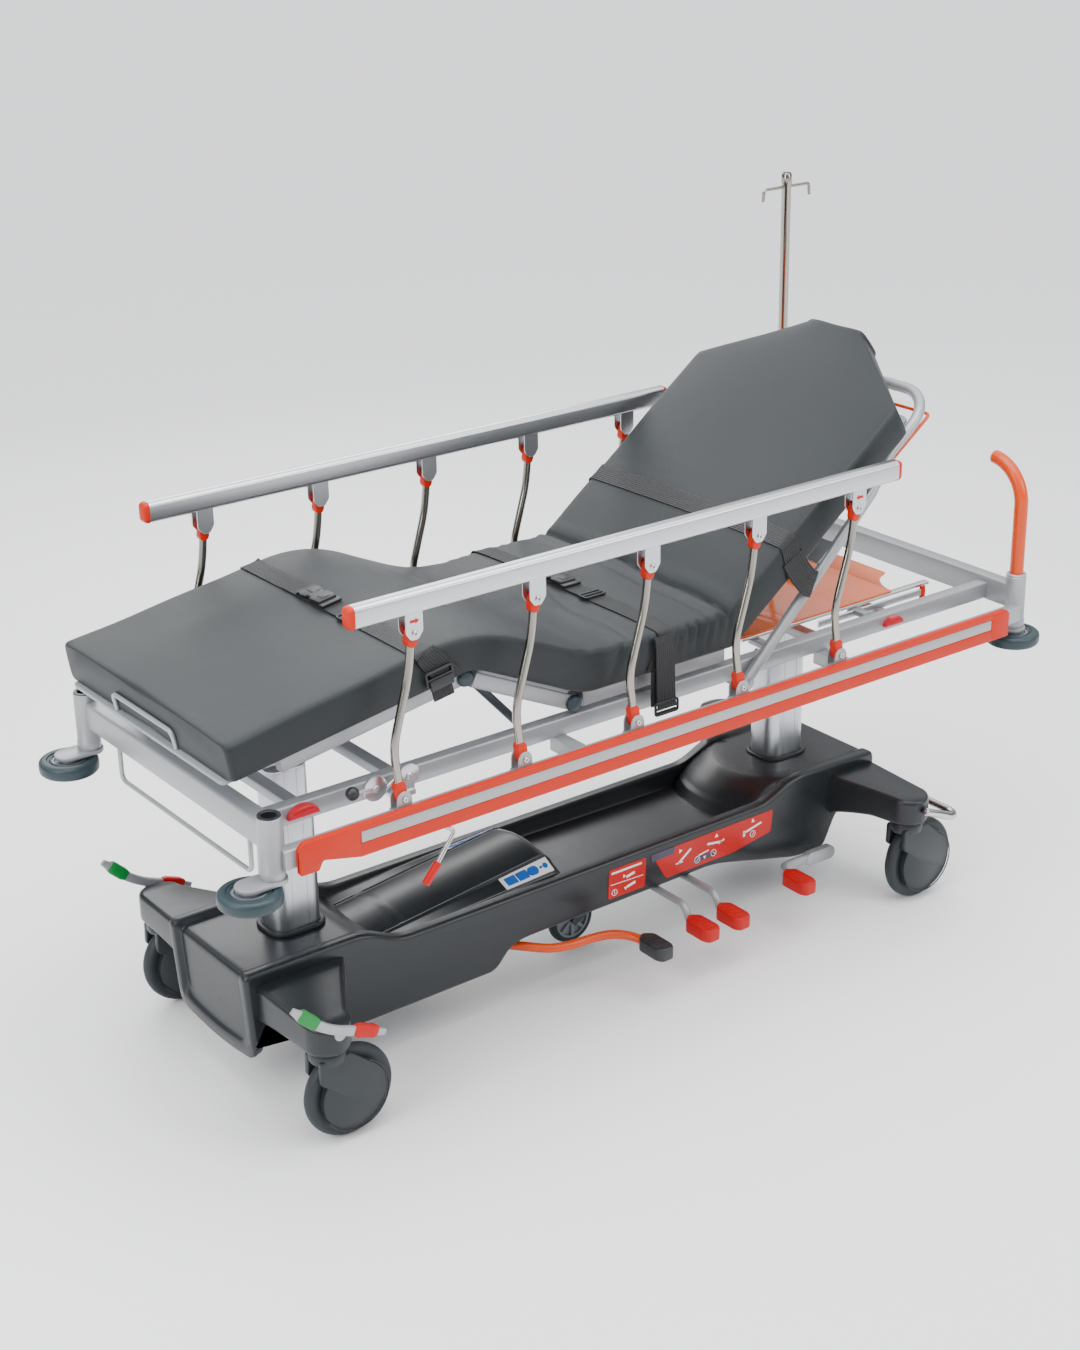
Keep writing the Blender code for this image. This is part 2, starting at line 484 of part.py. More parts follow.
def upper_frame():
    length = (CORNER_FOOT_X, CORNER_HEAD_X)
    solids = [box(length[0] - 0.010, length[0] + 0.030, -CORNER_Y, CORNER_Y, CROSS_LOW, CROSS_TOP),
              box(length[1] - 0.022, length[1] + 0.014, -CORNER_Y, CORNER_Y, CROSS_LOW, CROSS_TOP)]
    for side in (-1, 1):
        inner, outer = side * SIDE_TUBE_IN, side * SIDE_TUBE_OUT
        solids.append(box(length[0] + 0.01, length[1] - 0.01, *sorted((inner, outer)), SIDE_TUBE_LOW,
                          SIDE_TUBE_TOP))
        inner, outer = side * LOWER_RAIL_IN, side * LOWER_RAIL_OUT
        solids.append(box(length[0] + 0.008, length[1] - 0.012, *sorted((inner, outer)), LOWER_RAIL_LOW,
                          LOWER_RAIL_TOP))
        for x in (-0.255, 0.480):
            low, high = sorted((side * 0.290, side * 0.380))
            solids.append(box(x - 0.015, x + 0.015, low, high, LOWER_RAIL_LOW + 0.003, SIDE_TUBE_LOW + 0.003))
        for i in range(POSTS):
            x = POST_X0 + i * POST_STEP
            for cheek in (-1, 1):
                low, high = sorted((side * POST_Y + cheek * BRACKET_IN, side * POST_Y + cheek * BRACKET_OUT))
                outline = [(x - 0.017, LOWER_RAIL_TOP - 0.004), (x + 0.017, LOWER_RAIL_TOP - 0.004),
                           (x + 0.017, POST_LOW_Z)]
                outline += arc((x, POST_LOW_Z), 0.017, 30, 150, 4) + [(x - 0.017, POST_LOW_Z)]
                solids.append(prism(outline, "Y", low, high))
        lug = [(BACK_X - 0.022, SIDE_TUBE_LOW + 0.006)] + arc((BACK_X, BACK_Z), 0.019, 190, 350, 6)
        lug.append((BACK_X + 0.022, SIDE_TUBE_LOW + 0.006))
        low, high = sorted((side * (SIDE_TUBE_IN + 0.002), side * (SIDE_TUBE_OUT - 0.002)))
        solids.append(prism(lug, "Y", low, high))
    for x in (FOOT_COLUMN_X, HEAD_COLUMN_X):
        for offset in (-0.110, 0.110):
            solids.append(box(x + offset - 0.015, x + offset + 0.015, -0.280, 0.280, 0.684, 0.706))
        for side in (-1, 1):
            low, high = sorted((side * 0.028, side * 0.036))
            solids.append(box(x - 0.112, x + 0.112, low, high, 0.682, 0.722))
    solids.append(box(-0.015, 0.015, -0.280, 0.280, 0.700, 0.730))
    for x in (0.340, 0.640):
        for side in (-1, 1):
            low, high = sorted((side * 0.224, side * 0.280))
            solids.append(box(x - 0.012, x + 0.012, low, high, 0.727, SHELF_Z - 0.009))
    hanger, hang_x = 0.264, -0.960
    solids.append(tube([(hang_x, -hanger, 0.718), (hang_x, -hanger, 0.612), (hang_x, -hanger + 0.012, 0.600),
                        (hang_x, hanger - 0.012, 0.600), (hang_x, hanger, 0.612),
                        (hang_x, hanger, 0.718)], 0.005))
    socket = (0.967, CORNER_Y)
    solids.append(rod((*socket, LOWER_RAIL_LOW + 0.005), (*socket, 0.780), 0.0185, 20))
    cuts = [rod((*socket, LOWER_RAIL_LOW + 0.020), (*socket, 0.80), 0.0140, 20),
            rod((BACK_X, -0.32, BACK_Z), (BACK_X, 0.32, BACK_Z), BACK_PIN + 0.001, 14)]
    for side in (-1, 1):
        for x, is_foot in ((length[0], True), (length[1], False)):
            solids += corner(x, side * CORNER_Y, is_foot)
        cuts.append(rod((length[0], side * CORNER_Y, 0.700), (length[0], side * CORNER_Y, 0.80), 0.0165, 20))
        cuts.append(rod((length[1], side * CORNER_Y, 0.660), (length[1], side * CORNER_Y, 0.80), 0.0175, 20))
    slot = rounded(0.090, 2 * (PIVOT_PIN + 0.0055), PIVOT_PIN + 0.0050,
                   (HEAD_COLUMN_X + 0.012, COLUMN_PIVOT_Z))
    cuts.append(prism(slot, "Y", -0.06, 0.06))
    cuts.append(rod((FOOT_COLUMN_X, -0.06, COLUMN_PIVOT_Z), (FOOT_COLUMN_X, 0.06, COLUMN_PIVOT_Z),
                    PIVOT_PIN + 0.001))
    place("upper_frame", fused(solids, cuts), "silver_paint", (FOOT_COLUMN_X, 0, COLUMN_PIVOT_Z))


def bumpers():
    for end, x in (("foot", CORNER_FOOT_X - BUMPER_FOOT_OFFSET), ("head", CORNER_HEAD_X)):
        for side, where in ((-1, "near"), (1, "far")):
            half = (BUMPER_TOP - BUMPER_LOW) / 2
            centre = (x, side * CORNER_Y, BUMPER_LOW + half)
            roller = turned(tyre_profile(BUMPER_RADIUS, half, BUMPER_BORE, 0.008), centre, "Z")
            place(f"bumper_{end}_{where}", roller, "grey_rubber", centre)


def side_strips():
    for side, where in ((-1, "near"), (1, "far")):
        low, high = sorted((side * (LOWER_RAIL_OUT + GAP), side * STRIP_OUT))
        outline = [(STRIP_FOOT_X, STRIP_LOW - 0.014), (STRIP_FOOT_X, STRIP_TOP - 0.012),
                   (STRIP_FOOT_X + 0.012, STRIP_TOP), (STRIP_HEAD_X - 0.010, STRIP_TOP),
                   (STRIP_HEAD_X, STRIP_TOP - 0.008), (STRIP_HEAD_X, STRIP_LOW - 0.014),
                   (STRIP_HEAD_X - 0.045, STRIP_LOW - 0.014), (STRIP_HEAD_X - 0.060, STRIP_LOW),
                   (STRIP_FOOT_X + 0.080, STRIP_LOW), (STRIP_FOOT_X + 0.065, STRIP_LOW - 0.014)]
        place(f"side_strip_{where}", prism(outline, "Y", low, high), "orange_plastic")


def tray():
    """Acrylic shelf under the backrest, with its two near-head and far-head corners scooped out."""
    z = SHELF_Z
    half = 0.238
    outline = [(0.290, -half), (0.760, -half)]
    outline += [(0.855 + 0.098 * math.cos(a), -half - 0.010 + 0.108 * math.sin(a))
                for a in [math.radians(168 - 11 * i) for i in range(0, 7)]]
    outline += [(x, -y) for x, y in reversed(outline[1:])] + [(0.290, half)]
    shelf = prism(outline, "Z", z, z + 0.005)
    runners = [box(0.300, 0.880, *sorted((side * 0.222, side * 0.238)), z - 0.0085, z + 0.001)
               for side in (-1, 1)]
    place("shelf_tray", fused([shelf, *runners]), "orange_acrylic")


def handles():
    """Push handles: a tube in each head corner post, bent inwards at the top."""
    bend, top = 0.096, 0.936
    for side, where in ((-1, "near"), (1, "far")):
        y = side * CORNER_Y
        route = [(CORNER_HEAD_X, y, 0.664), (CORNER_HEAD_X, y, 0.80)]
        route += [(CORNER_HEAD_X, y - side * bend * (1 - math.cos(a)), top + bend * math.sin(a))
                  for a in [math.radians(12 * i) for i in range(0, 8)]]
        place(f"push_handle_{where}", tube(route, 0.016), "orange_paint", (CORNER_HEAD_X, y, 0.765))


def iv_pole():
    x, y = 0.967, CORNER_Y
    solids = [tube([(x, y, 0.685), (x, y, 1.585)], 0.0115),
              tube([(x - 0.075, y, 1.540), (x - 0.072, y, 1.560), (x - 0.050, y, 1.566),
                    (x + 0.050, y, 1.566),
                    (x + 0.072, y, 1.560), (x + 0.075, y, 1.540)], 0.004),
              rod((x, y, 1.580), (x, y, 1.600), 0.013)]
    place("iv_pole", fused(solids), "stainless", (x, y, 0.78))


# ---------------------------------------------------------------- side guards
def post_route(x, y):
    top_x = x + POST_LEAN
    return [(x, y, POST_LOW_Z), (x - 0.004, y, 0.760), (x - 0.012, y, 0.815), (x - 0.010, y, 0.845),
            (x + 0.022, y, 0.950), (x + 0.032, y, 0.985), (x + 0.034, y, 1.015), (top_x, y, POST_TOP_Z)]


def side_guards():
    for side, where in ((-1, "near"), (1, "far")):
        y = side * POST_Y
        for i in range(POSTS):
            x = POST_X0 + i * POST_STEP
            post = tube(post_route(x, y), POST_RADIUS)
            place(f"guard_post_{where}_{i + 1}", post, "stainless", (x, y, POST_LOW_Z))
        profile = rounded(2 * RAIL_HALF, RAIL_TOP - RAIL_LOW, 0.009, (y, (RAIL_TOP + RAIL_LOW) / 2), 3)
        solids = [prism(profile, "X", RAIL_FOOT_X, RAIL_HEAD_X)]
        for i in range(POSTS):
            x = POST_X0 + i * POST_STEP + POST_LEAN
            for cheek in (-1, 1):
                low, high = sorted((y + cheek * BRACKET_IN, y + cheek * BRACKET_OUT))
                outline = [(x - 0.020, RAIL_LOW + 0.012), (x + 0.020, RAIL_LOW + 0.012),
                           (x + 0.020, POST_TOP_Z)]
                outline += [(x + 0.008, POST_TOP_Z - 0.014), (x - 0.008, POST_TOP_Z - 0.014),
                            (x - 0.020, POST_TOP_Z)]
                solids.append(prism(outline, "Y", low, high))
        place(f"guard_rail_{where}", fused(solids), "aluminium", (POST_X0 + POST_LEAN, y, POST_TOP_Z))
        low, high = sorted((side * 0.352, side * 0.3585))
        latch = [rod((-0.735, low, 0.742), (-0.735, high, 0.742), 0.026, 20),
                 rod((-0.735, side * 0.355, 0.742), (-0.790, side * 0.366, 0.752), 0.004),
                 turned([(0.0001, -0.0135), (0.0095, -0.0095), (0.0135, 0.0), (0.0095, 0.0095),
                         (0.0001, 0.0135)],
                        (-0.792, side * 0.366, 0.752), "Z", 12)]
        place(f"guard_latch_{where}", fused(latch), "black_plastic", (-0.735, side * 0.355, 0.742))


# ---------------------------------------------------------------- mattress support
def deck_sides(start, end):
    return [box(start, end, *sorted((side * DECK_IN, side * DECK_OUT)), -TUBE_HALF, TUBE_HALF)
            for side in (-1, 1)]


def seat():
    z = HIP_Z
    start = HIP_X + 0.026
    solids = [moved(solid, (0, 0, z + 0.0002)) for solid in deck_sides(start, SEAT_HEAD_X)]
    solids.append(box(start, SEAT_HEAD_X, -PANEL_HALF, PANEL_HALF, z + PANEL_LOW, z + PANEL_TOP))
    for side in (-1, 1):
        outline = [(start + 0.03, z - 0.014), (start + 0.03, z + 0.014)] + arc((HIP_X, z), 0.014, 90, 270, 6)
        solids.append(prism(outline, "Y", *sorted((side * 0.2640, side * 0.2715))))
        low, high = sorted((side * 0.2650, side * 0.2800))
        solids.append(box(start + 0.004, start + 0.030, low, high, z - 0.014, z + 0.014))
    place("seat_deck", fused(solids), "silver_paint")
    foam = box(HIP_X + 0.015, 0.125, -MATTRESS_HALF, MATTRESS_HALF, z + MATTRESS_LOW, z + MATTRESS_TOP)
    place("seat_mattress", foam, "vinyl")


def thigh():
    origin = (HIP_X, 0, HIP_Z)
    end = -THIGH_LENGTH
    solids = deck_sides(end + 0.022, -0.002)
    for side in (-1, 1):
        solids.append(rod((0, side * DECK_IN, 0), (0, side * DECK_OUT, 0), TUBE_HALF))
        outline = [(end + 0.080, 0.014), (end + 0.080, -0.014)] + arc((end, 0), 0.014, 270, 90, 6)
        solids.append(prism(outline, "Y", *sorted((side * 0.2630, side * 0.2712))))
        solids.append(box(end + 0.030, end + 0.075, *sorted((side * 0.2650, side * 0.2800)), -0.013, 0.013))
    solids.append(box(end + 0.025, -0.022, -PANEL_HALF, PANEL_HALF, PANEL_LOW, PANEL_TOP))
    place("thigh_frame", fused(solids), "silver_paint", origin, THIGH_ANGLE, is_local=True)
    outline = [(end + 0.004, MATTRESS_LOW), (-0.024, MATTRESS_LOW), (-0.078, MATTRESS_TOP),
               (end + 0.004, MATTRESS_TOP)]
    foam = prism(outline, "Y", -MATTRESS_HALF, MATTRESS_HALF)
    place("thigh_mattress", foam, "vinyl", origin, THIGH_ANGLE, is_local=True)
    strut = [rod((0.0, -0.232, 0.0), (0.0, -0.248, 0.0), 0.013),
             rod((0.0, -0.240, 0.0), (0.0, -0.240, -0.188), 0.0085, 12)]
    top = tuple(section_point(origin, THIGH_ANGLE, -0.255))
    place("knee_strut", moved(fused(strut), turn_y=-42.0), "steel_dark", top, is_local=True)


def section_point(origin, angle, along, above=0.0):
    """World place of a point along a section that is turned about Y."""
    turn = Matrix.Rotation(math.radians(angle), 4, "Y")
    return Vector(origin) + turn @ Vector((along, 0, above))


def leg():
    knee = section_point((HIP_X, 0, HIP_Z), THIGH_ANGLE, -THIGH_LENGTH)
    end = -LEG_LENGTH
    solids = deck_sides(end + LEG_TUBE_INSET, -0.002)
    for side in (-1, 1):
        solids.append(rod((0, side * DECK_IN, 0), (0, side * DECK_OUT, 0), TUBE_HALF))
    solids.append(box(end - 0.022, -0.022, -PANEL_HALF, PANEL_HALF, PANEL_LOW, PANEL_TOP))
    guard = [(end - 0.014, 0.120, 0.020), (end - 0.016, 0.120, 0.052), (end - 0.016, 0.108, 0.064),
             (end - 0.016, -0.108, 0.064), (end - 0.016, -0.120, 0.052), (end - 0.014, -0.120, 0.020)]
    solids.append(tube(guard, 0.005))
    place("leg_frame", fused(solids), "silver_paint", tuple(knee), LEG_ANGLE, is_local=True)
    foam = box(end, -0.006, -MATTRESS_HALF, MATTRESS_HALF, MATTRESS_LOW, MATTRESS_TOP)
    place("leg_mattress", foam, "vinyl", tuple(knee), LEG_ANGLE, is_local=True)


def back_tube_height(along):
    return along * math.tan(BACK_TUBE_RISE)


def backrest():
    origin = (BACK_X, 0, BACK_Z)
    outer, wide = 0.300, 0.3205
    half = [(0.0, wide), (0.500, wide), (0.600, outer), (0.680, outer)]
    loop = [(0.680 + 0.090 * math.sin(a), outer - 0.090 + 0.090 * math.cos(a))
            for a in [math.radians(18 * i) for i in range(1, 6)]]
    near = [(u, -y, min(back_tube_height(u), 0.0810)) for u, y in half + loop]
    route = near + [(u, -y, z) for u, y, z in reversed(near)]
    solids = [tube(route, 0.0125), box(0.092, 0.690, -0.292, 0.292, BACK_PANEL_LOW, BACK_PANEL_TOP)]
    for side in (-1, 1):
        solids.append(box(0.300, 0.360, *sorted((side * 0.2800, side * 0.2860)), 0.050, 0.090))
        solids.append(box(0.300, 0.360, *sorted((side * 0.2800, side * 0.3200)), 0.050, 0.057))
        solids.append(box(0.620, 0.680, *sorted((side * 0.2800, side * 0.2950)), 0.080, 0.090))
        solids.append(rod((0, side * 0.3085, 0), (0, side * 0.3330, 0), 0.0160))
        solids.append(rod((0, side * 0.2700, 0), (0, side * 0.3200, 0), BACK_PIN, 14))
    place("back_frame", fused(solids), "silver_paint", origin, BACK_ANGLE, is_local=True)
    foam = [(0.092, BACK_PANEL_TOP + 0.001), (BACK_LENGTH, BACK_PANEL_TOP + 0.001), (BACK_LENGTH, 0.176),
            (0.162, 0.176)]
    overrun = 0.020
    narrowing = (MATTRESS_HALF - BACK_END_HALF) / (BACK_LENGTH - BACK_TAPER)
    tip_half = BACK_END_HALF - overrun * narrowing
    taper = hull([(u, side * y, z) for side in (-1, 1) for z in (0.0, 0.30)
                  for u, y in ((0.0, MATTRESS_HALF), (BACK_TAPER, MATTRESS_HALF),
                               (BACK_LENGTH + overrun, tip_half))])
    slab = prism(foam, "Y", -0.4, 0.4)
    both = mesh_object("slab", slab)
    tool = mesh_object("taper", taper)
    cut = both.modifiers.new("taper", "BOOLEAN")
    cut.operation = "INTERSECT"
    cut.object = tool
    foam_mesh = evaluated(both)
    for used in (both, tool):
        bpy.data.objects.remove(used, do_unlink=True)
    place("back_mattress", foam_mesh, "vinyl", origin, BACK_ANGLE, is_local=True)
    bar_y, tip = 0.2655, 0.756
    bar = [(0.480, -bar_y, 0.040), (0.490, -bar_y, 0.028), (tip - 0.012, -bar_y, 0.025),
           (tip, -bar_y + 0.012, 0.025),
           (tip, bar_y - 0.012, 0.025), (tip - 0.012, bar_y, 0.025), (0.490, bar_y, 0.028),
           (0.480, bar_y, 0.040)]
    pivot = section_point(origin, BACK_ANGLE, 0.480, 0.040)
    shifted = tube([(u - 0.480, y, z - 0.040) for u, y, z in bar], 0.004, 1)
    place("backrest_release_bar", shifted, "orange_paint", tuple(pivot), BACK_ANGLE, is_local=True)


def build():
    for existing in list(bpy.data.objects):
        bpy.data.objects.remove(existing, do_unlink=True)
    for make in (base_cover, chassis, pump_unit, oxygen_cradle, casters, brakes, fifth_wheel, pedals, columns,
                 upper_frame, bumpers, side_strips, tray, handles, iv_pole, side_guards, seat, thigh, leg,
                 backrest):
        make()


build()
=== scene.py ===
# Hospital stretcher trolley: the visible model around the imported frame.
# +X is the head end, -Y the near side, +Z up; the origin is on the floor. Lengths are in metres.
import json
import math

import bmesh
import bpy
import numpy as np
from mathutils import Matrix, Vector

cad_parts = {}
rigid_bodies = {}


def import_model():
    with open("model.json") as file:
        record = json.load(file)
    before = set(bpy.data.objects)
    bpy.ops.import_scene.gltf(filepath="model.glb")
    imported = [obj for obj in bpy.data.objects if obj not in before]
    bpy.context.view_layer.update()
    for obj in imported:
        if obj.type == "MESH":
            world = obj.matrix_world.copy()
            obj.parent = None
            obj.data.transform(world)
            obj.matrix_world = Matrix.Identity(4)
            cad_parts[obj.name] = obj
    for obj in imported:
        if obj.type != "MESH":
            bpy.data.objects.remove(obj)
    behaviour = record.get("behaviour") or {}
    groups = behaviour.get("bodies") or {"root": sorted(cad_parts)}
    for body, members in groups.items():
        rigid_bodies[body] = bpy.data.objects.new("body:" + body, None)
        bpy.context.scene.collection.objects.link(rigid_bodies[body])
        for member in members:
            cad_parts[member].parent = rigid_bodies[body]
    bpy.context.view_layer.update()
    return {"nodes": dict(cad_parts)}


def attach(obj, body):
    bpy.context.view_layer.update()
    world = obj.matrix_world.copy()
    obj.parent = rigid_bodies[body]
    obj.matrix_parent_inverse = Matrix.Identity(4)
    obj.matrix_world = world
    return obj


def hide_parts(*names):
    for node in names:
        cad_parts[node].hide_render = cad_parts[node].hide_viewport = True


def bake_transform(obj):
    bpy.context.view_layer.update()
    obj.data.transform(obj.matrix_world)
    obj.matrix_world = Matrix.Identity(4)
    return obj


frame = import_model()
pi = math.pi


# ------------------------------------------------------------ shader maths
class Value:
    # One shader socket. Arithmetic on it adds Math nodes.
    def __init__(self, shade, socket):
        self.shade = shade
        self.socket = socket

    def math(self, operation, a, b=0.0):
        made = self.shade.node("ShaderNodeMath", {"operation": operation}, a, b)
        return self.shade.out(made, 0)

    def __add__(self, other):
        return self.math("ADD", self, other)

    __radd__ = __add__

    def __sub__(self, other):
        return self.math("SUBTRACT", self, other)

    def __rsub__(self, other):
        return self.math("SUBTRACT", other, self)

    def __mul__(self, other):
        return self.math("MULTIPLY", self, other)

    __rmul__ = __mul__

    def __truediv__(self, other):
        return self.math("DIVIDE", self, other)

    def __pow__(self, other):
        return self.math("POWER", self, other)

    def over(self, edge, width):
        # 0 below the edge and 1 above it, with a soft step of the given width
        made = self.shade.node("ShaderNodeMapRange", {"interpolation_type": "SMOOTHSTEP"}, self, edge - width,
                               edge + width, 0.0, 1.0)
        return self.shade.out(made, 0)


class Shade:
    # One material and its nodes.
    def __init__(self, name, colour, rough, metal=0.0, **fixed):
        self.material = bpy.data.materials.new(name)
        self.material.use_nodes = True
        self.tree = self.material.node_tree
        self.shader = self.tree.nodes["Principled BSDF"]
        self.set("Base Color", (*colour, 1.0))
        self.set("Roughness", rough)
        self.set("Metallic", metal)
        for key, value in fixed.items():
            self.set(key.replace("_", " "), value)
        self.colour = colour
        self.place = self.out(self.node("ShaderNodeTexCoord"), "Object")
        self.bumps = None
        self.material.diffuse_color = (*colour, 1.0)

    def feed(self, socket, value):
        if isinstance(value, Value):
            self.tree.links.new(value.socket, socket)
        else:
            socket.default_value = value

    def set(self, key, value):
        self.feed(self.shader.inputs[key], value)

    def node(self, kind, settings=None, *ordered, **named):
        made = self.tree.nodes.new(kind)
        for key, value in (settings or {}).items():
            if key == "stops":
                ramp = made.color_ramp.elements
                while len(ramp) < len(value):
                    ramp.new(1.0)
                for stop, (position, colour) in zip(ramp, value):
                    stop.position = position
                    stop.color = (*colour, 1.0)
            else:
                setattr(made, key, value)
        for index, value in enumerate(ordered):
            self.feed(made.inputs[index], value)
        for key, value in named.items():
            self.feed(made.inputs[key.replace("_", " ")], value)
        return made

    def out(self, made, key):
        return Value(self, made.outputs[key])

    def axis(self, index):
        return self.out(self.node("ShaderNodeSeparateXYZ", None, self.place), index)

    def scaled(self, scale, turn=(0, 0, 0)):
        return self.out(self.node("ShaderNodeMapping", None, Vector=self.place, Scale=scale, Rotation=turn), 0)

    def noise(self, scale, detail=3.0, stretch=None, rough=0.5):
        where = self.scaled(stretch) if stretch else self.place
        made = self.node("ShaderNodeTexNoise", None, Vector=where, Scale=scale, Detail=detail, Roughness=rough)
        return self.out(made, 0)

    def mix(self, amount, a, b):
        made = self.node("ShaderNodeMix", {"data_type": "RGBA"})
        self.feed(made.inputs[0], amount)
        for socket, value in ((made.inputs[6], a), (made.inputs[7], b)):
            self.feed(socket, value if isinstance(value, Value) else (*value, 1.0))
        return Value(self, made.outputs[2])

    def bump(self, height, distance, strength=1.0):
        fixed = {"Height": height, "Distance": distance, "Strength": strength}
        if self.bumps:
            fixed["Normal"] = self.bumps
        self.bumps = self.out(self.node("ShaderNodeBump", None, **fixed), 0)
        self.set("Normal", self.bumps)


def darker(colour, share):
    return tuple(c * share for c in colour)


def mouldedPlastic(name, colour, rough, grain=0.00004, coat=0.0, shine=0.5):
    # Moulded plastic: fine leather-like grain, a slow waviness, and patches of a little more or less gloss
    shade = Shade(name, colour, rough, Coat_Weight=coat, Coat_Roughness=0.12, Specular_IOR_Level=shine)
    cloudy = shade.noise(9.0, 4.0)
    shade.set("Base Color", shade.mix(cloudy, darker(colour, 0.86), darker(colour, 1.12)))
    scuffs = shade.noise(160.0, 2.0, (1.0, 0.25, 1.0)).over(0.66, 0.07)
    shade.set("Roughness", cloudy * 0.10 + scuffs * 0.06 + (rough - 0.05))
    shade.bump(shade.noise(900.0, 2.0), grain)
    shade.bump(shade.noise(14.0, 2.0), 0.0006)
    return shade.material


def paintedMetal(name, colour, rough, metal):
    # Metallic powder coat: tiny flakes and an orange-peel surface
    shade = Shade(name, colour, rough, metal, Coat_Weight=0.15, Coat_Roughness=0.25)
    flakes = shade.noise(1400.0, 1.0)
    shade.set("Base Color", shade.mix(flakes, darker(colour, 0.88), darker(colour, 1.10)))
    shade.set("Roughness", shade.noise(30.0, 3.0) * 0.10 + (rough - 0.05))
    shade.bump(shade.noise(500.0, 2.0), 0.00005)
    return shade.material


def brushedMetal(name, colour, rough, stretch, depth=0.00002):
    # Extruded or drawn metal: fine lines along one axis, which the stretch makes long
    shade = Shade(name, colour, rough, 1.0)
    lines = shade.noise(420.0, 4.0, stretch, 0.7)
    shade.set("Base Color", shade.mix(lines, darker(colour, 0.86), darker(colour, 1.05)))
    shade.set("Roughness", lines * 0.14 + (rough - 0.06))
    shade.bump(lines, depth)
    return shade.material


def mattressCloth():
    # Coated knit: a fine diagonal weave, faint mottling, soft creases and a little sheen
    colour = (0.0135, 0.0170, 0.0185)
    shade = Shade("mattressCloth", colour, 0.42, Sheen_Weight=0.04, Sheen_Roughness=0.45, Specular_IOR_Level=0.28)
    mottle = shade.noise(7.0, 5.0)
    weaveA = shade.out(shade.node("ShaderNodeTexWave", {"wave_type": "BANDS", "bands_direction": "DIAGONAL"},
                                  Vector=shade.place, Scale=420.0, Distortion=0.6, Detail=1.0), 1)
    weaveB = shade.out(shade.node("ShaderNodeTexWave", {"wave_type": "BANDS", "bands_direction": "DIAGONAL"},
                                  Vector=shade.scaled((1, -1, 1)), Scale=420.0, Distortion=0.6, Detail=1.0), 1)
    shade.set("Base Color", shade.mix(mottle, darker(colour, 0.82), darker(colour, 1.20)))
    shade.set("Roughness", mottle * 0.12 + 0.40)
    shade.bump(weaveA + weaveB, 0.00006)
    shade.bump(shade.noise(16.0, 4.0, (1.0, 0.45, 1.0), 0.55), 0.0016, 0.55)
    return shade.material


def webbing():
    # Woven belt: ribs along its length, read from the strap's own UV map, with small cross picks; the colour carries
    # painted shade in the rib valleys and painted light on the rib crowns
    colour = (0.0085, 0.0092, 0.0100)
    shade = Shade("webbing", colour, 0.44, Sheen_Weight=0.02, Specular_IOR_Level=0.35)
    uv = shade.out(shade.node("ShaderNodeUVMap", {"uv_map": "strap"}), 0)
    across = shade.out(shade.node("ShaderNodeSeparateXYZ", None, uv), 1)
    along = shade.out(shade.node("ShaderNodeSeparateXYZ", None, uv), 0)
    ribs = across.math("SINE", across * 2.0 * pi * 9.0) * 0.5 + 0.5
    picks = along.math("SINE", along * 2.0 * pi * 900.0) * 0.5 + 0.5
    # Painted shade and light: the colour follows the rib height, dark in the valleys and bright on the crowns
    shade.set("Base Color", shade.mix(ribs, darker(colour, 0.55), darker(colour, 1.9)))
    shade.bump(ribs, 0.0007)
    shade.bump(picks, 0.0002)
    return shade.material


def reflectiveFoil():
    # Silver retro-reflective strip: a small honeycomb under a clear film
    colour = (0.50, 0.50, 0.50)
    shade = Shade("reflectiveFoil", colour, 0.33, 0.55, Coat_Weight=0.6, Coat_Roughness=0.1)
    cells = shade.out(shade.node("ShaderNodeTexVoronoi", {"feature": "DISTANCE_TO_EDGE"}, Vector=shade.place,
                                 Scale=330.0, Randomness=0.15), 0)
    shade.set("Base Color", shade.mix(cells.over(0.06, 0.03), (0.18, 0.18, 0.18), (0.36, 0.36, 0.365)))
    shade.set("Roughness", shade.noise(5.0, 2.0) * 0.12 + 0.27)
    return shade.material


def clearPlastic(name, colour, alpha, rough=0.08):
    shade = Shade(name, colour, rough, Coat_Weight=0.5, Coat_Roughness=0.05)
    shade.set("Alpha", shade.noise(3.0, 2.0) * 0.06 + (alpha - 0.03))
    shade.set("Base Color", shade.mix(shade.noise(4.0, 2.0), darker(colour, 0.92), darker(colour, 1.05)))
    shade.bump(shade.noise(12.0, 1.0), 0.0002)
    return shade.material


blackPlastic = mouldedPlastic("blackPlastic", (0.0105, 0.0135, 0.0160), 0.30, 0.00004, 0.0, 0.40)
deepBlack = mouldedPlastic("deepBlack", (0.010, 0.011, 0.012), 0.42)
socketBlack = mouldedPlastic("socketBlack", (0.014, 0.015, 0.017), 0.38)
casterPlastic = mouldedPlastic("casterPlastic", (0.014, 0.019, 0.022), 0.38, 0.00004, 0.0, 0.40)
tyreRubber = mouldedPlastic("tyreRubber", (0.018, 0.024, 0.027), 0.52, 0.00008, 0.0, 0.35)
bumperRubber = mouldedPlastic("bumperRubber", (0.018, 0.036, 0.042), 0.42, 0.00008, 0.0, 0.4)
hubGrey = mouldedPlastic("hubGrey", (0.16, 0.18, 0.20), 0.38)
capTeal = mouldedPlastic("capTeal", (0.022, 0.042, 0.050), 0.42)
orangePlastic = mouldedPlastic("orangePlastic", (0.52, 0.018, 0.003), 0.40, 0.00003, 0.0, 0.22)
redPlastic = mouldedPlastic("redPlastic", (0.46, 0.005, 0.004), 0.38, 0.00003, 0.0, 0.25)
greenPlastic = mouldedPlastic("greenPlastic", (0.006, 0.20, 0.035), 0.38, 0.00003, 0.0, 0.32)
orangePaint = mouldedPlastic("orangePaint", (0.60, 0.055, 0.001), 0.24, 0.00001, 0.20, 0.30)
blueInk = mouldedPlastic("blueInk", (0.008, 0.11, 0.44), 0.38, 0.00001, 0.0, 0.3)
whiteInk = mouldedPlastic("whiteInk", (0.80, 0.80, 0.80), 0.40, 0.00001)
